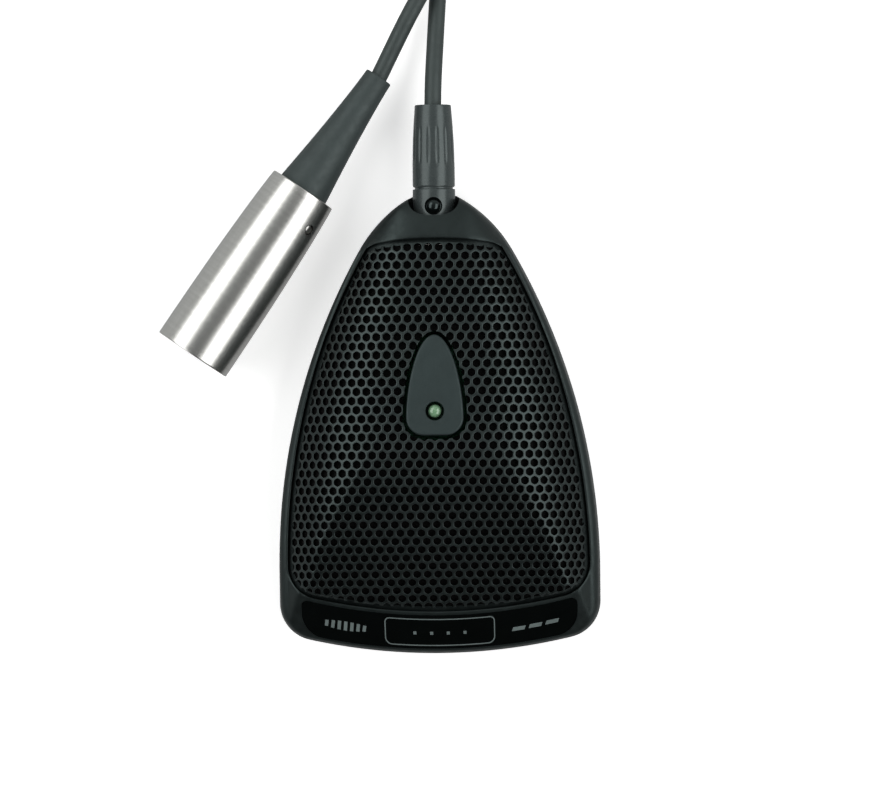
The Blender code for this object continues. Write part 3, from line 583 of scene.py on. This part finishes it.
# ---------------------------------------------------------------- grille
def run_table(slope, reach, steps=400):
    """Plan distance against the distance run along a surface of the given slope."""
    table = [(0.0, 0.0)]
    run = 0.0
    for i in range(steps):
        run += math.hypot(1.0, slope(reach * (i + 0.5) / steps)) * reach / steps
        table.append((run, reach * (i + 1) / steps))
    return table


def look_up(table, run):
    step = table[-1][1] / (len(table) - 1)
    low, high = 0, len(table) - 1
    while high - low > 1:
        between = (low + high) // 2
        if table[between][0] <= run:
            low = between
        else:
            high = between
    share = (run - table[low][0]) / (table[high][0] - table[low][0])
    return table[low][1] + step * share


def front_slope(back):
    return FACET_SLOPE + 2 * FACET_BEND * back


def rear_slope(back):
    return 2 * REAR_FALL * back


def in_opening(x, y, margin):
    side = half_opening(y)
    front = FRONT_CENTRE_Y - math.sqrt(max((OPENING_FRONT_R + margin) ** 2 - x * x, 0.0))
    return front < y < OPENING_REAR_Y + margin and abs(x) < side + margin


def perforated_sheet():
    """Flat sheet with its holes in a triangular pattern, spaced as on the domed surface."""
    across = run_table(side_slope, 1.6)
    forward = run_table(front_slope, 50 * MM)
    backward = run_table(rear_slope, 62 * MM)

    def plan(u, v):
        y = PEAK_Y + (look_up(backward, v) if v > 0 else -look_up(forward, -v))
        half = half_opening(y)
        return math.copysign(half * look_up(across, abs(u) / half), u), y

    cell = []
    for k in range(12):
        reach = PITCH / 2 if k % 2 else PITCH / math.sqrt(3)
        cell.append((math.tau * (k + 1) / 12, reach))
    layers = ((None, 0.0), (HOLE_R + 0.14 * MM, 0.0), (HOLE_R + 0.06 * MM, -0.04 * MM), (HOLE_R, -0.14 * MM),
              (HOLE_R, -SHEET), (None, -SHEET))
    bm = bmesh.new()
    for row in range(-20, 28):
        for column in range(-17, 18):
            u = (column + (0.5 if row % 2 else 0.0)) * PITCH
            v = row * PITCH * math.sqrt(3) / 2
            if not in_opening(*plan(u, v), 1.5 * PITCH):
                continue
            rings = []
            for radius, height in layers:
                ring = []
                for k, (turn, reach) in enumerate(cell):
                    if radius is not None:
                        reach = radius if k % 2 else radius + HOLE_CORNER
                    x, y = plan(u + reach * math.cos(turn), v + reach * math.sin(turn))
                    ring.append(bm.verts.new((x, y, height)))
                rings.append(ring)
            for low, high in zip(rings, rings[1:]):
                for i in range(12):
                    bm.faces.new((low[i], low[(i + 1) % 12], high[(i + 1) % 12], high[i]))
    bmesh.ops.remove_doubles(bm, verts=bm.verts, dist=0.00003)
    close_edge(bm)
    return from_bmesh("grille_sheet", bm, 30)


def close_edge(bm):
    """Join the open edge of the upper face to the lower face straight below it."""
    open_edges = [edge for edge in bm.edges if edge.is_boundary]
    below = {}
    for edge in open_edges:
        for vert in edge.verts:
            if vert.co.z < -SHEET / 2:
                below[(round(vert.co.x / MM, 2), round(vert.co.y / MM, 2))] = vert

    def under(vert):
        x, y = vert.co.x / MM, vert.co.y / MM
        for dx in (0.0, 0.01, -0.01):
            for dy in (0.0, 0.01, -0.01):
                match = below.get((round(x + dx, 2), round(y + dy, 2)))
                if match:
                    return match

    for edge in open_edges:
        a, b = edge.verts
        if a.co.z > -SHEET / 2:
            bm.faces.new((a, b, under(b), under(a)))


def edge_roll(x, y):
    """Drop of the sheet where it is rolled down along the opening."""
    front = math.hypot(x, y - FRONT_CENTRE_Y)
    rear = math.hypot(x, y - OPENING_REAR_Y + OPENING_REAR_ARC_R)
    room = min(half_opening(y) - abs(x), OPENING_FRONT_R - front, OPENING_REAR_ARC_R - rear)
    share = min(max(1.0 - (room - SHEET_INSET) / (1.5 * MM), 0.0), 1.0)
    return 0.4 * MM * share * share


def build_grille():
    sheet = perforated_sheet()
    edge = moved_in(opening_outline(), SHEET_INSET)
    trim = loft("grille_trim", [raised(edge, -5 * MM), raised(edge, 5 * MM)])
    cut(sheet, trim, "INTERSECT")
    window = moved_in(teardrop_outline(), -0.85 * MM)
    cut(sheet, loft("window_trim", [raised(window, -5 * MM), raised(window, 5 * MM)]))
    for vert in sheet.data.vertices:
        vert.co.z += crown(vert.co.x, vert.co.y) - SHEET_DROP - edge_roll(vert.co.x, vert.co.y)
    shade(sheet.data, 30)
    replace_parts(sheet, "grille")
    return finish_piece(sheet, "base", "grille_paint")


def build_liner():
    """Foam cushion that closes the holes from inside."""
    edge = opening_outline()
    window = teardrop_outline()
    turns = [math.atan2(y - LIGHT_Y, x) for x, y, _, _ in edge]
    inner = []
    for turn in turns:
        inner.append(teardrop_reach(window, turn))
    rings = []
    for depth, inward in ((2.4 * MM, True), (1.55 * MM, False)):
        for step in range(13):
            share = 1 - step / 12 if inward else step / 12
            spots = []
            for (x, y), (ix, iy) in zip(moved_in(edge, 1.5 * MM), inner):
                spots.append((ix + (x - ix) * share, iy + (y - iy) * share))
            rings.append(raised(spots, crown, -depth))
    liner = loft("liner_foam_sheet", rings, closed=True)
    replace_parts(liner, "grille_liner")
    return finish_piece(liner, "base", "liner_foam")


def teardrop_reach(window, turn):
    """Point where a ray from the light meets the window outline grown by a millimetre."""
    def off_ray(spot):
        return abs(math.remainder(math.atan2(spot[1] - LIGHT_Y, spot[0]) - turn, math.tau))

    best = min(moved_in(window, -1.0 * MM), key=off_ray)
    reach = math.hypot(best[0], best[1] - LIGHT_Y)
    return reach * math.cos(turn), LIGHT_Y + reach * math.sin(turn)


# ---------------------------------------------------------------- indicator
def build_indicator():
    outline = teardrop_outline()
    turns = [math.atan2(y - LIGHT_Y, x) for x, y, _, _ in outline]

    def circle(radius):
        return [(radius * math.cos(turn), LIGHT_Y + radius * math.sin(turn)) for turn in turns]

    edge_r = 0.45 * MM
    rings = [raised(moved_in(outline, 0.0), crown, -0.9 * MM)]
    for step in range(6):
        turn = math.pi / 2 * step / 5
        spots = moved_in(outline, edge_r * (1 - math.cos(turn)))
        rings.append(raised(spots, crown, BEZEL_PROUD - edge_r * (1 - math.sin(turn))))
    rim = moved_in(outline, edge_r)
    lip = circle(LIGHT_BORE_R + 0.15 * MM)
    for step in range(1, 9):
        share = step / 8
        spots = [(a + (c - a) * share, b + (d - b) * share) for (a, b), (c, d) in zip(rim, lip)]
        rings.append(raised(spots, crown, BEZEL_PROUD))
    rings.append(raised(circle(LIGHT_BORE_R), crown, BEZEL_PROUD - 0.15 * MM))
    rings.append(raised(circle(LIGHT_BORE_R), 17 * MM))
    rings.append(raised(circle(LIGHT_BORE_R + 1.2 * MM), 17 * MM))
    bezel = loft("bezel_window", rings, closed=True)
    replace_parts(bezel, "indicator_bezel")
    finish_piece(bezel, "base", "bezel_grey")

    profile = [(0.3, 24.0), (0.7, 23.93), (1.1, 23.72), (1.4, 23.4), (1.6, 22.95), (1.65, 22.5), (1.65, 8.0),
               (1.5, 7.7)]
    lens = put(turned("lens", profile, 48, angle=50), Matrix.Translation((0.0, LIGHT_Y, 0.0)))
    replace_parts(lens, "light_pipe")
    finish_piece(lens, "base", "light_lens")


# ---------------------------------------------------------------- plug
def build_plug():
    profile = [(4.95, 56.3), (5.07, 56.15), (5.07, 49.7), (4.95, 49.5), (4.35, 49.5), (4.35, 42.6),
               (3.75, 42.6), (3.75, 57.8), (4.55, 57.8), (4.55, 56.3)]
    ring = put(turned("plug_ring", rounded(profile, 0.12), 96, True), plug_frame())
    latch_place = Matrix.Translation((0.0, LATCH_Y, PLUG_Z))
    cut(ring, put(turned("latch_hole", [(2.12, 0.0), (2.12, 9.0)], 48), latch_place))
    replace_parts(ring, "plug_shell")
    finish_piece(ring, "plug", "plug_satin")

    start, length = 62.2, 9.0

    def flutes(turn, height):
        if not start < height < start + length:
            return 0.0
        along = math.sin(math.pi * (height - start) / length) ** 0.6
        across = math.cos(turn * FLUTES) * 0.5 + 0.5
        return 0.20 * along * across ** 7

    body = [(4.1, 76.4), (4.28, 76.33), (4.34, 76.1), (4.45, 74.4), (4.62, 72.2), (4.69, 71.2), (4.72, 70.8),
            (4.75, 70.1), (4.80, 69.2), (4.86, 68.2), (4.93, 66.4), (4.98, 64.6), (5.0, 63.6), (5.01, 63.0),
            (5.015, 62.5), (5.02, 62.2), (5.03, 61.0), (5.03, 57.25), (4.97, 56.95), (4.85, 56.8),
            (4.7, 56.8), (4.7, 58.1), (2.3, 58.1), (2.3, 75.3), (2.85, 75.5), (2.85, 76.3), (2.95, 76.4)]
    sleeve = turned("sleeve", body, FLUTES * 16, True, flutes)
    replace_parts(put(sleeve, plug_frame()), "plug_sleeve")
    finish_piece(sleeve, "plug", "plug_satin")

    profile = [(0.25, 5.95), (0.7, 5.87), (1.1, 5.66), (1.4, 5.35), (1.6, 4.9), (1.66, 4.4), (1.66, 4.1),
               (1.95, 4.0), (1.95, 2.75), (2.3, 2.75), (2.3, 2.3)]
    button = put(turned("latch_dome", profile, 64), latch_place)
    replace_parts(button, "latch_button")
    finish_piece(button, "latch", "overlay_gloss", "gloss_button")


# ---------------------------------------------------------------- cable
def smooth_path(guides, steps):
    """Points of a Catmull-Rom curve through the guide points."""
    first = guides[0] * 2 - guides[1]
    last = guides[-1] * 2 - guides[-2]
    knots = [first] + guides + [last]
    points = []
    for p0, p1, p2, p3 in zip(knots, knots[1:], knots[2:], knots[3:]):
        for step in range(steps):
            t = step / steps
            bend = p0 * 2 - p1 * 5 + p2 * 4 - p3
            twist = p1 * 3 - p0 - p2 * 3 + p3
            points.append((p1 * 2 + (p2 - p0) * t + bend * t * t + twist * t ** 3) * 0.5)
    return points + [guides[-1]]


def cable_points():
    """Way of the cable: down from the plug, round its loop and over itself to the connector."""
    guides = [(0.0, 76.4, PLUG_Z / MM), (0.2, 83.0, 8.5), (0.8, 94.0, 5.4), (1.6, 108.0, 2.75),
              (1.9, 122.0, 2.3), (2.2, 137.0, 2.25)]
    for turn in (172, 135, 98, 61, 24, -13):
        angle = math.radians(turn)
        guides.append((20.0 + 17.6 * math.cos(angle), 151.0 + 17.6 * math.sin(angle), 2.25))
    guides += [(31.0, 137.4, 2.5), (20.0, 127.0, 4.2), (10.0, 118.6, 6.9), (1.7, 109.6, 8.1),
               (-4.9, 98.9, 8.2)]
    points = [Vector(guide) * MM for guide in guides]
    return smooth_path(points + [XLR_FRONT + XLR_AXIS * XLR_LENGTH], 10)


def tube(name, points, radius, steps=28):
    """Round tube along points, carried without twist from one to the next."""
    rings = []
    up = Vector((0.0, 0.0, 1.0))
    for i, point in enumerate(points):
        ahead = points[min(i + 1, len(points) - 1)] - points[max(i - 1, 0)]
        ahead.normalize()
        side = ahead.cross(up).normalized()
        up = side.cross(ahead).normalized()
        ring = []
        for step in range(steps):
            turn = math.tau * step / steps
            ring.append(point + (side * math.cos(turn) + up * math.sin(turn)) * radius)
        rings.append(ring)
    return loft(name, rings)


def build_cable():
    path = cable_points()
    start = [Vector((0.0, y * MM, PLUG_Z)) for y in (59.5, 64.0, 68.0, 72.0, 74.5)]
    end = [XLR_FRONT + XLR_AXIS * (along * MM) for along in (78.0, 74.0, 66.0, 56.0, 44.0)]
    split = 80
    first = tube("cable_mic_side", start + path[:split + 1], CABLE_R)
    second = tube("cable_connector_side", path[split:] + end, CABLE_R)
    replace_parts(first, "cable_end_plug", "cable")
    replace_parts(second, "cable_end_xlr", "cable")
    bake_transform(first)
    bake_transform(second)
    for piece in (first, second):
        finish_piece(piece, None, "cable_jacket")


# ---------------------------------------------------------------- in-line connector
def build_connector():
    place = xlr_frame()
    outer = [(8.2, 47.5), (8.33, 47.35), (8.5, 45.5), (8.77, 41.0), (9.0, 36.0), (9.21, 30.0), (9.38, 24.0),
             (9.48, 18.0), (9.55, 12.0), (9.59, 6.0), (9.6, 0.25), (9.5, 0.0)]
    inner = [(8.4, 0.0), (8.1, 0.6), (8.1, 24.6), (7.5, 24.6), (7.2, 44.0), (6.6, 44.4), (6.6, 47.5)]
    shell = put(turned("connector_shell", rounded(outer + inner, 0.12), 144, True), place)
    seat = place @ Matrix.Translation((0.0, 0.0, 40.1 * MM))
    seat = seat @ Matrix.Rotation(math.radians(-38), 4, "Z") @ Matrix.Rotation(math.radians(90), 4, "Y")
    cut(shell, put(turned("screw_hole", [(1.3, 5.0), (1.3, 12.0)], 32), seat))
    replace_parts(shell, "xlr_shell")
    finish_piece(shell, "xlr", "satin_nickel", "brushed_barrel")

    profile = [(0.2, 8.68), (0.6, 8.66), (0.85, 8.6), (1.0, 8.45), (1.03, 8.2), (1.03, 7.0)]
    screw = turned("connector_screw", profile, 32)
    x, y = 2.0 * MM, 0.17 * MM
    slot = ((-x, -y), (x, -y), (x, y), (-x, y))
    cut(screw, loft("slot", [raised(slot, height * MM) for height in (8.3, 9.5)]))
    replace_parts(put(screw, seat), "xlr_screw")
    finish_piece(screw, "xlr", "satin_nickel", "screw_nickel")

    taper = []
    for step in range(25):
        t = step / 24
        taper.append((3.4 + 2.9 * (1 - t) ** 1.35, 47.9 + t * 31.8))
    profile = [(3.25, 79.9)] + list(reversed(taper))
    profile += [(6.3, 42.4), (2.3, 42.4), (2.3, 78.6), (2.85, 78.8), (2.85, 79.8), (2.95, 79.9)]
    boot = put(turned("connector_boot", profile, 96, True), place)
    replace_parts(boot, "xlr_boot")
    finish_piece(boot, "xlr", "boot_rubber")

    profile = rounded([(7.0, 16.5), (7.9, 16.5), (7.9, 24.4), (7.0, 24.4)], 0.3, 3, False)
    insert = turned("connector_insert", profile, 72)
    pin_places = []
    for degrees in (30, 150, 270):
        turn = Matrix.Rotation(math.radians(degrees), 4, "Z")
        pin_places.append(turn @ Matrix.Translation((4.2 * MM, 0.0, 0.0)))
    for spot in pin_places:
        cut(insert, put(turned("pin_hole", [(1.3, 12.0), (1.3, 30.0)], 32), spot))
    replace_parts(put(insert, place), "xlr_insert")
    finish_piece(insert, "xlr", "component_plastic")
    profile = [(0.4, 3.0), (0.75, 3.1), (1.0, 3.35), (1.15, 3.8), (1.18, 4.3), (1.18, 27.5), (0.9, 28.0)]
    for index, spot in enumerate(pin_places, 1):
        pin = put(turned(f"connector_pin_{index}", profile, 32), place @ spot)
        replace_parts(pin, f"xlr_pin_{index}")
        finish_piece(pin, "xlr", "satin_nickel", "screw_nickel")


# ---------------------------------------------------------------- materials
class Finish:
    """A Principled material whose textures are sized in millimetres of the piece."""

    def __init__(self, name, roughness, metallic=0.0):
        self.material = bpy.data.materials.new(name)
        self.material.use_nodes = True
        self.tree = self.material.node_tree
        self.shader = self.tree.nodes["Principled BSDF"]
        self.shader.inputs["Roughness"].default_value = roughness
        self.shader.inputs["Metallic"].default_value = metallic
        self.roughness = roughness
        self.place = self.add("ShaderNodeTexCoord").outputs["Object"]

    def add(self, kind, inputs=None, **settings):
        node = self.tree.nodes.new(kind)
        for key, value in settings.items():
            setattr(node, key, value)
        for key, value in (inputs or {}).items():
            self.join(node.inputs[key], value)
        return node

    def join(self, socket, value):
        if isinstance(value, bpy.types.NodeSocket):
            self.tree.links.new(value, socket)
        else:
            socket.default_value = value

    def noise(self, size, detail=3.0, stretch=(1.0, 1.0, 1.0)):
        """Noise with features of the given size in millimetres, stretched along the axes."""
        scale = [1 / (size * MM * factor) for factor in stretch]
        mapping = self.add("ShaderNodeMapping", {"Vector": self.place, "Scale": scale})
        inputs = {"Vector": mapping.outputs[0], "Scale": 1.0, "Detail": detail}
        return self.add("ShaderNodeTexNoise", inputs).outputs[0]

    def cells(self, size):
        mapping = self.add("ShaderNodeMapping", {"Vector": self.place, "Scale": [1 / (size * MM)] * 3})
        inputs = {"Vector": mapping.outputs[0], "Scale": 1.0}
        return self.add("ShaderNodeTexVoronoi", inputs).outputs["Distance"]

    def span(self, value, low, high, start=0.3, end=0.7):
        """Map a texture value from start..end to low..high."""
        inputs = {"Value": value, "From Min": start, "From Max": end, "To Min": low, "To Max": high}
        return self.add("ShaderNodeMapRange", inputs).outputs[0]

    def blend(self, share, a, b):
        node = self.add("ShaderNodeMix", data_type="RGBA")
        self.join(node.inputs[0], share)
        for socket, colour in ((node.inputs[6], a), (node.inputs[7], b)):
            self.join(socket, colour if isinstance(colour, bpy.types.NodeSocket) else (*colour, 1.0))
        return node.outputs[2]

    def worn_edges(self, radius):
        """One on convex and concave edges within a radius, and nought on open surface."""
        bevel = self.add("ShaderNodeBevel", {"Radius": radius * MM}, samples=4)
        flat = self.add("ShaderNodeNewGeometry").outputs["Normal"]
        facing = self.add("ShaderNodeVectorMath", {0: bevel.outputs[0], 1: flat}, operation="DOT_PRODUCT")
        return self.span(facing.outputs["Value"], 1.0, 0.0, 0.80, 0.985)

    def colour(self, value):
        if isinstance(value, tuple):
            value = (*value, 1.0)
        self.join(self.shader.inputs["Base Color"], value)

    def relief(self, height, depth, strength=1.0):
        """Bump of the given depth in millimetres on top of what is there already."""
        inputs = {"Height": height, "Distance": depth * MM, "Strength": strength}
        socket = self.shader.inputs["Normal"]
        if socket.links:
            inputs["Normal"] = socket.links[0].from_socket
        self.join(socket, self.add("ShaderNodeBump", inputs).outputs[0])

    def set(self, **values):
        for key, value in values.items():
            self.join(self.shader.inputs[key.replace("_", " ")], value)


def moulded(name, colour, roughness, grain=0.22, depth=0.012, mottle=0.16, edge=1.5, spread=0.07, tint=0.80):
    """Fine-textured plastic or paint: mottled tone, grained relief, uneven sheen and rubbed edges."""
    look = Finish(name, roughness)
    look.set(Specular_Tint=(tint, 1.0, 0.98, 1.0))
    dark = tuple(channel * (1 - mottle) for channel in colour)
    light = tuple(channel * (1 + mottle) for channel in colour)
    tone = look.blend(look.span(look.noise(4.0, 4.0), 0.0, 1.0), dark, light)
    rubbed = tuple(min(channel * edge, 1.0) for channel in colour)
    look.colour(look.blend(look.worn_edges(0.35), tone, rubbed))
    look.set(Roughness=look.span(look.noise(1.6, 3.0), roughness - spread, roughness + spread))
    look.relief(look.noise(grain, 2.0), depth)
    look.relief(look.noise(grain * 6, 2.0), depth * 1.5, 0.5)
    return look


def brushed(name, colour, roughness, lines, stretch, depth):
    """Metal with fine lines; stretch sets the way they run."""
    look = Finish(name, roughness, 1.0)
    fine = look.noise(lines, 3.0, stretch)
    broad = look.noise(lines * 4, 2.0, stretch)
    dark = tuple(channel * 0.9 for channel in colour)
    light = tuple(min(channel * 1.1, 1.0) for channel in colour)
    look.colour(look.blend(look.span(broad, 0.0, 1.0), dark, light))
    look.set(Roughness=look.span(fine, roughness - 0.07, roughness + 0.09))
    look.relief(fine, depth)
    return look


def build_finishes():
    looks = {}
    shell = moulded("housing_paint", (0.0034, 0.0046, 0.0045), 0.46, 0.2, 0.012)
    shell.set(Specular_IOR_Level=0.45)
    looks["housing_paint"] = shell
    sheet = moulded("grille_paint", (0.0026, 0.0036, 0.0035), 0.41, 0.16, 0.006)
    sheet.set(Specular_IOR_Level=0.62)
    looks["grille_paint"] = sheet
    foam = Finish("liner_foam", 0.95)
    foam.colour(foam.blend(foam.span(foam.cells(0.45), 0.0, 1.0, 0.1, 0.7), (0.001, 0.001, 0.001),
                           (0.004, 0.004, 0.004)))
    foam.relief(foam.cells(0.45), 0.25)
    foam.set(Specular_IOR_Level=0.1)
    looks["liner_foam"] = foam
    looks["zinc_steel"] = brushed("zinc_steel", (0.58, 0.585, 0.57), 0.34, 0.12, (1.0, 12.0, 1.0), 0.004)
    rubber = moulded("base_rubber", (0.016, 0.017, 0.017), 0.8, 0.5, 0.05, edge=1.3)
    rubber.relief(rubber.cells(1.0), 0.12)
    looks["base_rubber"] = rubber
    satin = moulded("plug_satin", (0.038, 0.046, 0.046), 0.28, 0.3, 0.002, 0.05, 1.25, 0.03, tint=0.88)
    looks["plug_satin"] = satin
    gloss = moulded("overlay_gloss", (0.0012, 0.0016, 0.0015), 0.14, 0.8, 0.0012, 0.2, 1.4, 0.03)
    gloss.set(Specular_IOR_Level=0.35)
    looks["overlay_gloss"] = gloss
    looks["gloss_button"] = moulded("gloss_button", (0.002, 0.003, 0.003), 0.14, 0.6, 0.001, 0.2, 1.3, 0.04)
    looks["print"] = moulded("print", (0.12, 0.145, 0.142), 0.6, 0.12, 0.004, 0.12, 1.05)
    looks["bezel_grey"] = moulded("bezel_grey", (0.013, 0.019, 0.0195), 0.52, 0.14, 0.006, 0.10, 1.2)
    lens = Finish("light_lens", 0.16)
    # Painted shade: the lens colour turns deep green towards its rim as the dome turns from the camera, a
    # dark ring painted round the pale middle.
    painted_rim_shade = lens.add("ShaderNodeLayerWeight", {"Blend": 0.35}).outputs["Facing"]
    pale = lens.blend(lens.span(lens.noise(0.7, 2.0), 0.0, 1.0), (0.16, 0.30, 0.17), (0.24, 0.42, 0.25))
    lens.colour(lens.blend(painted_rim_shade, pale, (0.05, 0.11, 0.06)))
    lens.relief(lens.noise(0.9, 1.0), 0.01)
    lens.set(Coat_Weight=0.6, Coat_Roughness=0.06, Transmission_Weight=0.15)
    looks["light_lens"] = lens
    board = moulded("board_laminate", (0.012, 0.10, 0.04), 0.35, 0.4, 0.01)
    board.relief(board.span(board.noise(1.5, 0.0, (6.0, 1.0, 1.0)), 0.0, 1.0, 0.48, 0.52), 0.03)
    looks["board_laminate"] = board
    looks["component_plastic"] = moulded("component_plastic", (0.014, 0.015, 0.015), 0.48, 0.12, 0.01)
    looks["can_aluminium"] = brushed("can_aluminium", (0.74, 0.74, 0.74), 0.28, 0.1, (12.0, 12.0, 1.0), 0.003)
    looks["contact_gold"] = brushed("contact_gold", (0.83, 0.62, 0.26), 0.2, 0.1, (1.0, 12.0, 1.0), 0.002)
    looks["satin_nickel"] = brushed("satin_nickel", (0.60, 0.595, 0.565), 0.3, 0.12, (1.0, 12.0, 1.0), 0.003)
    looks["screw_nickel"] = brushed("screw_nickel", (0.42, 0.42, 0.40), 0.3, 0.1, (3.0, 3.0, 1.0), 0.003)
    looks["brushed_barrel"] = barrel_finish()
    jacket = moulded("cable_jacket", (0.032, 0.040, 0.0385), 0.52, 0.25, 0.012, 0.10, 1.1, tint=0.88)
    jacket.relief(jacket.noise(3.0, 2.0), 0.02)
    looks["cable_jacket"] = jacket
    boot = moulded("boot_rubber", (0.031, 0.040, 0.0395), 0.56, 0.28, 0.02, 0.12, 1.15, tint=0.88)
    looks["boot_rubber"] = boot
    looks["slider_white"] = moulded("slider_white", (0.62, 0.62, 0.58), 0.4, 0.2, 0.006, 0.05, 1.1)
    return looks


def barrel_finish():
    """Satin nickel turned on a lathe: hair lines run round the barrel."""
    look = Finish("brushed_barrel", 0.3, 1.0)
    along = look.add("ShaderNodeVectorMath", {0: look.place, 1: tuple(XLR_AXIS)}, operation="DOT_PRODUCT")
    side = Vector((XLR_AXIS.y, -XLR_AXIS.x, 0.0)).normalized()
    across = look.add("ShaderNodeVectorMath", {0: look.place, 1: tuple(side)}, operation="DOT_PRODUCT")
    inputs = {"X": along.outputs["Value"], "Y": across.outputs["Value"]}
    look.place = look.add("ShaderNodeCombineXYZ", inputs).outputs[0]
    fine = look.noise(0.16, 2.0, (1.0, 40.0, 1.0))
    broad = look.noise(0.7, 3.0, (1.0, 16.0, 1.0))
    look.colour(look.blend(look.span(broad, 0.0, 1.0), (0.565, 0.56, 0.535), (0.63, 0.625, 0.60)))
    look.set(Roughness=look.span(fine, 0.20, 0.27), Anisotropic=0.5)
    look.relief(fine, 0.0004)
    tangent = look.add("ShaderNodeVectorMath", {0: look.add("ShaderNodeNewGeometry").outputs["Normal"],
                                                1: tuple(XLR_AXIS)}, operation="CROSS_PRODUCT")
    look.join(look.shader.inputs["Tangent"], tangent.outputs["Vector"])
    return look


def soften(obj, width):
    bevel = obj.modifiers.new("soft_edges", "BEVEL")
    bevel.width = width
    bevel.segments = 2
    bevel.limit_method = "ANGLE"
    bevel.angle_limit = math.radians(35)


def finish_piece(obj, body, slot, look=None):
    """Give a new piece its material, by look or else by slot, and the body it rides on."""
    obj.data.materials.clear()
    obj.data.materials.append(LOOKS[look or slot].material)
    if body:
        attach(obj, body)
    return obj


def dress_frame():
    """Carried-over CAD nodes: welded, softly bevelled and painted by the slot each one names."""
    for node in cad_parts.values():
        slot = node.data.materials[0].name.split(".")[0]
        node.data.materials[0] = LOOKS[slot].material
        if node.hide_render:
            continue
        weld = node.modifiers.new("weld", "WELD")
        weld.merge_threshold = 0.001 * MM
        soften(node, 0.06 * MM)
        shade(node.data)


# ---------------------------------------------------------------- stage
def build_floor():
    bm = bmesh.new()
    bmesh.ops.create_grid(bm, x_segments=8, y_segments=8, size=2.5)
    floor = from_bmesh("floor", bm)
    floor.location.z = -0.02 * MM
    look = Finish("floor_paper", 0.7)
    seen = look.add("ShaderNodeLightPath").outputs["Is Camera Ray"]
    paper = look.blend(look.span(look.noise(30.0, 3.0), 0.0, 1.0), (0.86, 0.86, 0.855), (0.90, 0.90, 0.895))
    look.colour(look.blend(seen, (0.20, 0.21, 0.21), paper))
    look.relief(look.noise(0.6, 3.0), 0.01)
    glow = look.span(seen, 0.27, 0.50, 0.0, 1.0)
    look.set(Specular_IOR_Level=0.1, Emission_Color=(1.0, 1.0, 1.0, 1.0), Emission_Strength=glow)
    floor.data.materials.append(look.material)


def softbox(name, place, size, radiance):
    """Rectangular light of a set brightness, turned to face the object."""
    light = bpy.data.lights.new(name, "AREA")
    light.shape = "RECTANGLE"
    light.size, light.size_y = size
    light.energy = radiance * math.pi * size[0] * size[1]
    obj = new_object(name, light)
    obj.location = place
    aim = Vector((0.0, 0.01, 0.01)) - Vector(place)
    obj.rotation_euler = aim.to_track_quat("-Z", "Y").to_euler()


def build_light():
    softbox("softbox_right", (0.94, -0.17, 0.95), (1.9, 1.0), 2.7)
    softbox("softbox_left", (-0.92, 0.26, 0.95), (1.9, 1.0), 2.3)
    world = bpy.data.worlds.new("studio")
    world.use_nodes = True
    bpy.context.scene.world = world
    tree = world.node_tree
    direction = tree.nodes.new("ShaderNodeTexCoord").outputs["Generated"]
    split = tree.nodes.new("ShaderNodeSeparateXYZ")
    tree.links.new(direction, split.inputs[0])
    share = tree.nodes.new("ShaderNodeMapRange")
    share.inputs["From Min"].default_value = -1.0
    tree.links.new(split.outputs["Y"], share.inputs["Value"])
    ramp = tree.nodes.new("ShaderNodeValToRGB")
    ramp.color_ramp.elements[0].position = 0.15
    ramp.color_ramp.elements[0].color = (0.03, 0.031, 0.031, 1.0)
    ramp.color_ramp.elements[1].position = 1.0
    ramp.color_ramp.elements[1].color = (0.62, 0.635, 0.63, 1.0)
    middle_stop = ramp.color_ramp.elements.new(0.5)
    middle_stop.color = (0.16, 0.165, 0.165, 1.0)
    tree.links.new(share.outputs[0], ramp.inputs[0])
    # Behind the floor the camera sees a pale wall; reflections and light keep the dark studio.
    wall = tree.nodes.new("ShaderNodeMix")
    wall.data_type = "RGBA"
    wall.inputs[7].default_value = (0.80, 0.81, 0.81, 1.0)
    tree.links.new(tree.nodes.new("ShaderNodeLightPath").outputs["Is Camera Ray"], wall.inputs[0])
    tree.links.new(ramp.outputs[0], wall.inputs[6])
    background = tree.nodes["Background"]
    tree.links.new(wall.outputs[2], background.inputs["Color"])
    background.inputs["Strength"].default_value = 1.0


def build_camera():
    """Long lens straight above the object, a little to its right and turned slightly."""
    target = Vector((0.85 * MM, 6.0 * MM, 10.0 * MM))
    lean = math.radians(1.8)
    roll = math.radians(0.73)
    distance = 1.5
    frame_width = 209.9 * MM
    back = Vector((math.sin(lean), 0.0, math.cos(lean)))
    level = Vector((math.cos(lean), 0.0, -math.sin(lean)))
    ahead = Vector((0.0, 1.0, 0.0))
    right = level * math.cos(roll) - ahead * math.sin(roll)
    up = level * math.sin(roll) + ahead * math.cos(roll)
    data = bpy.data.cameras.new("camera")
    data.sensor_width = 36.0
    data.lens = data.sensor_width * distance / frame_width
    camera = new_object("camera", data)
    turn = Matrix((right, up, back)).transposed().to_4x4()
    camera.matrix_world = Matrix.Translation(target + back * distance) @ turn
    bpy.context.scene.camera = camera
    bpy.context.scene.view_settings.view_transform = "Standard"


LOOKS = build_finishes()
build_housing()
build_film()
build_grille()
build_liner()
build_indicator()
build_plug()
build_cable()
build_connector()
dress_frame()
build_floor()
build_light()
build_camera()
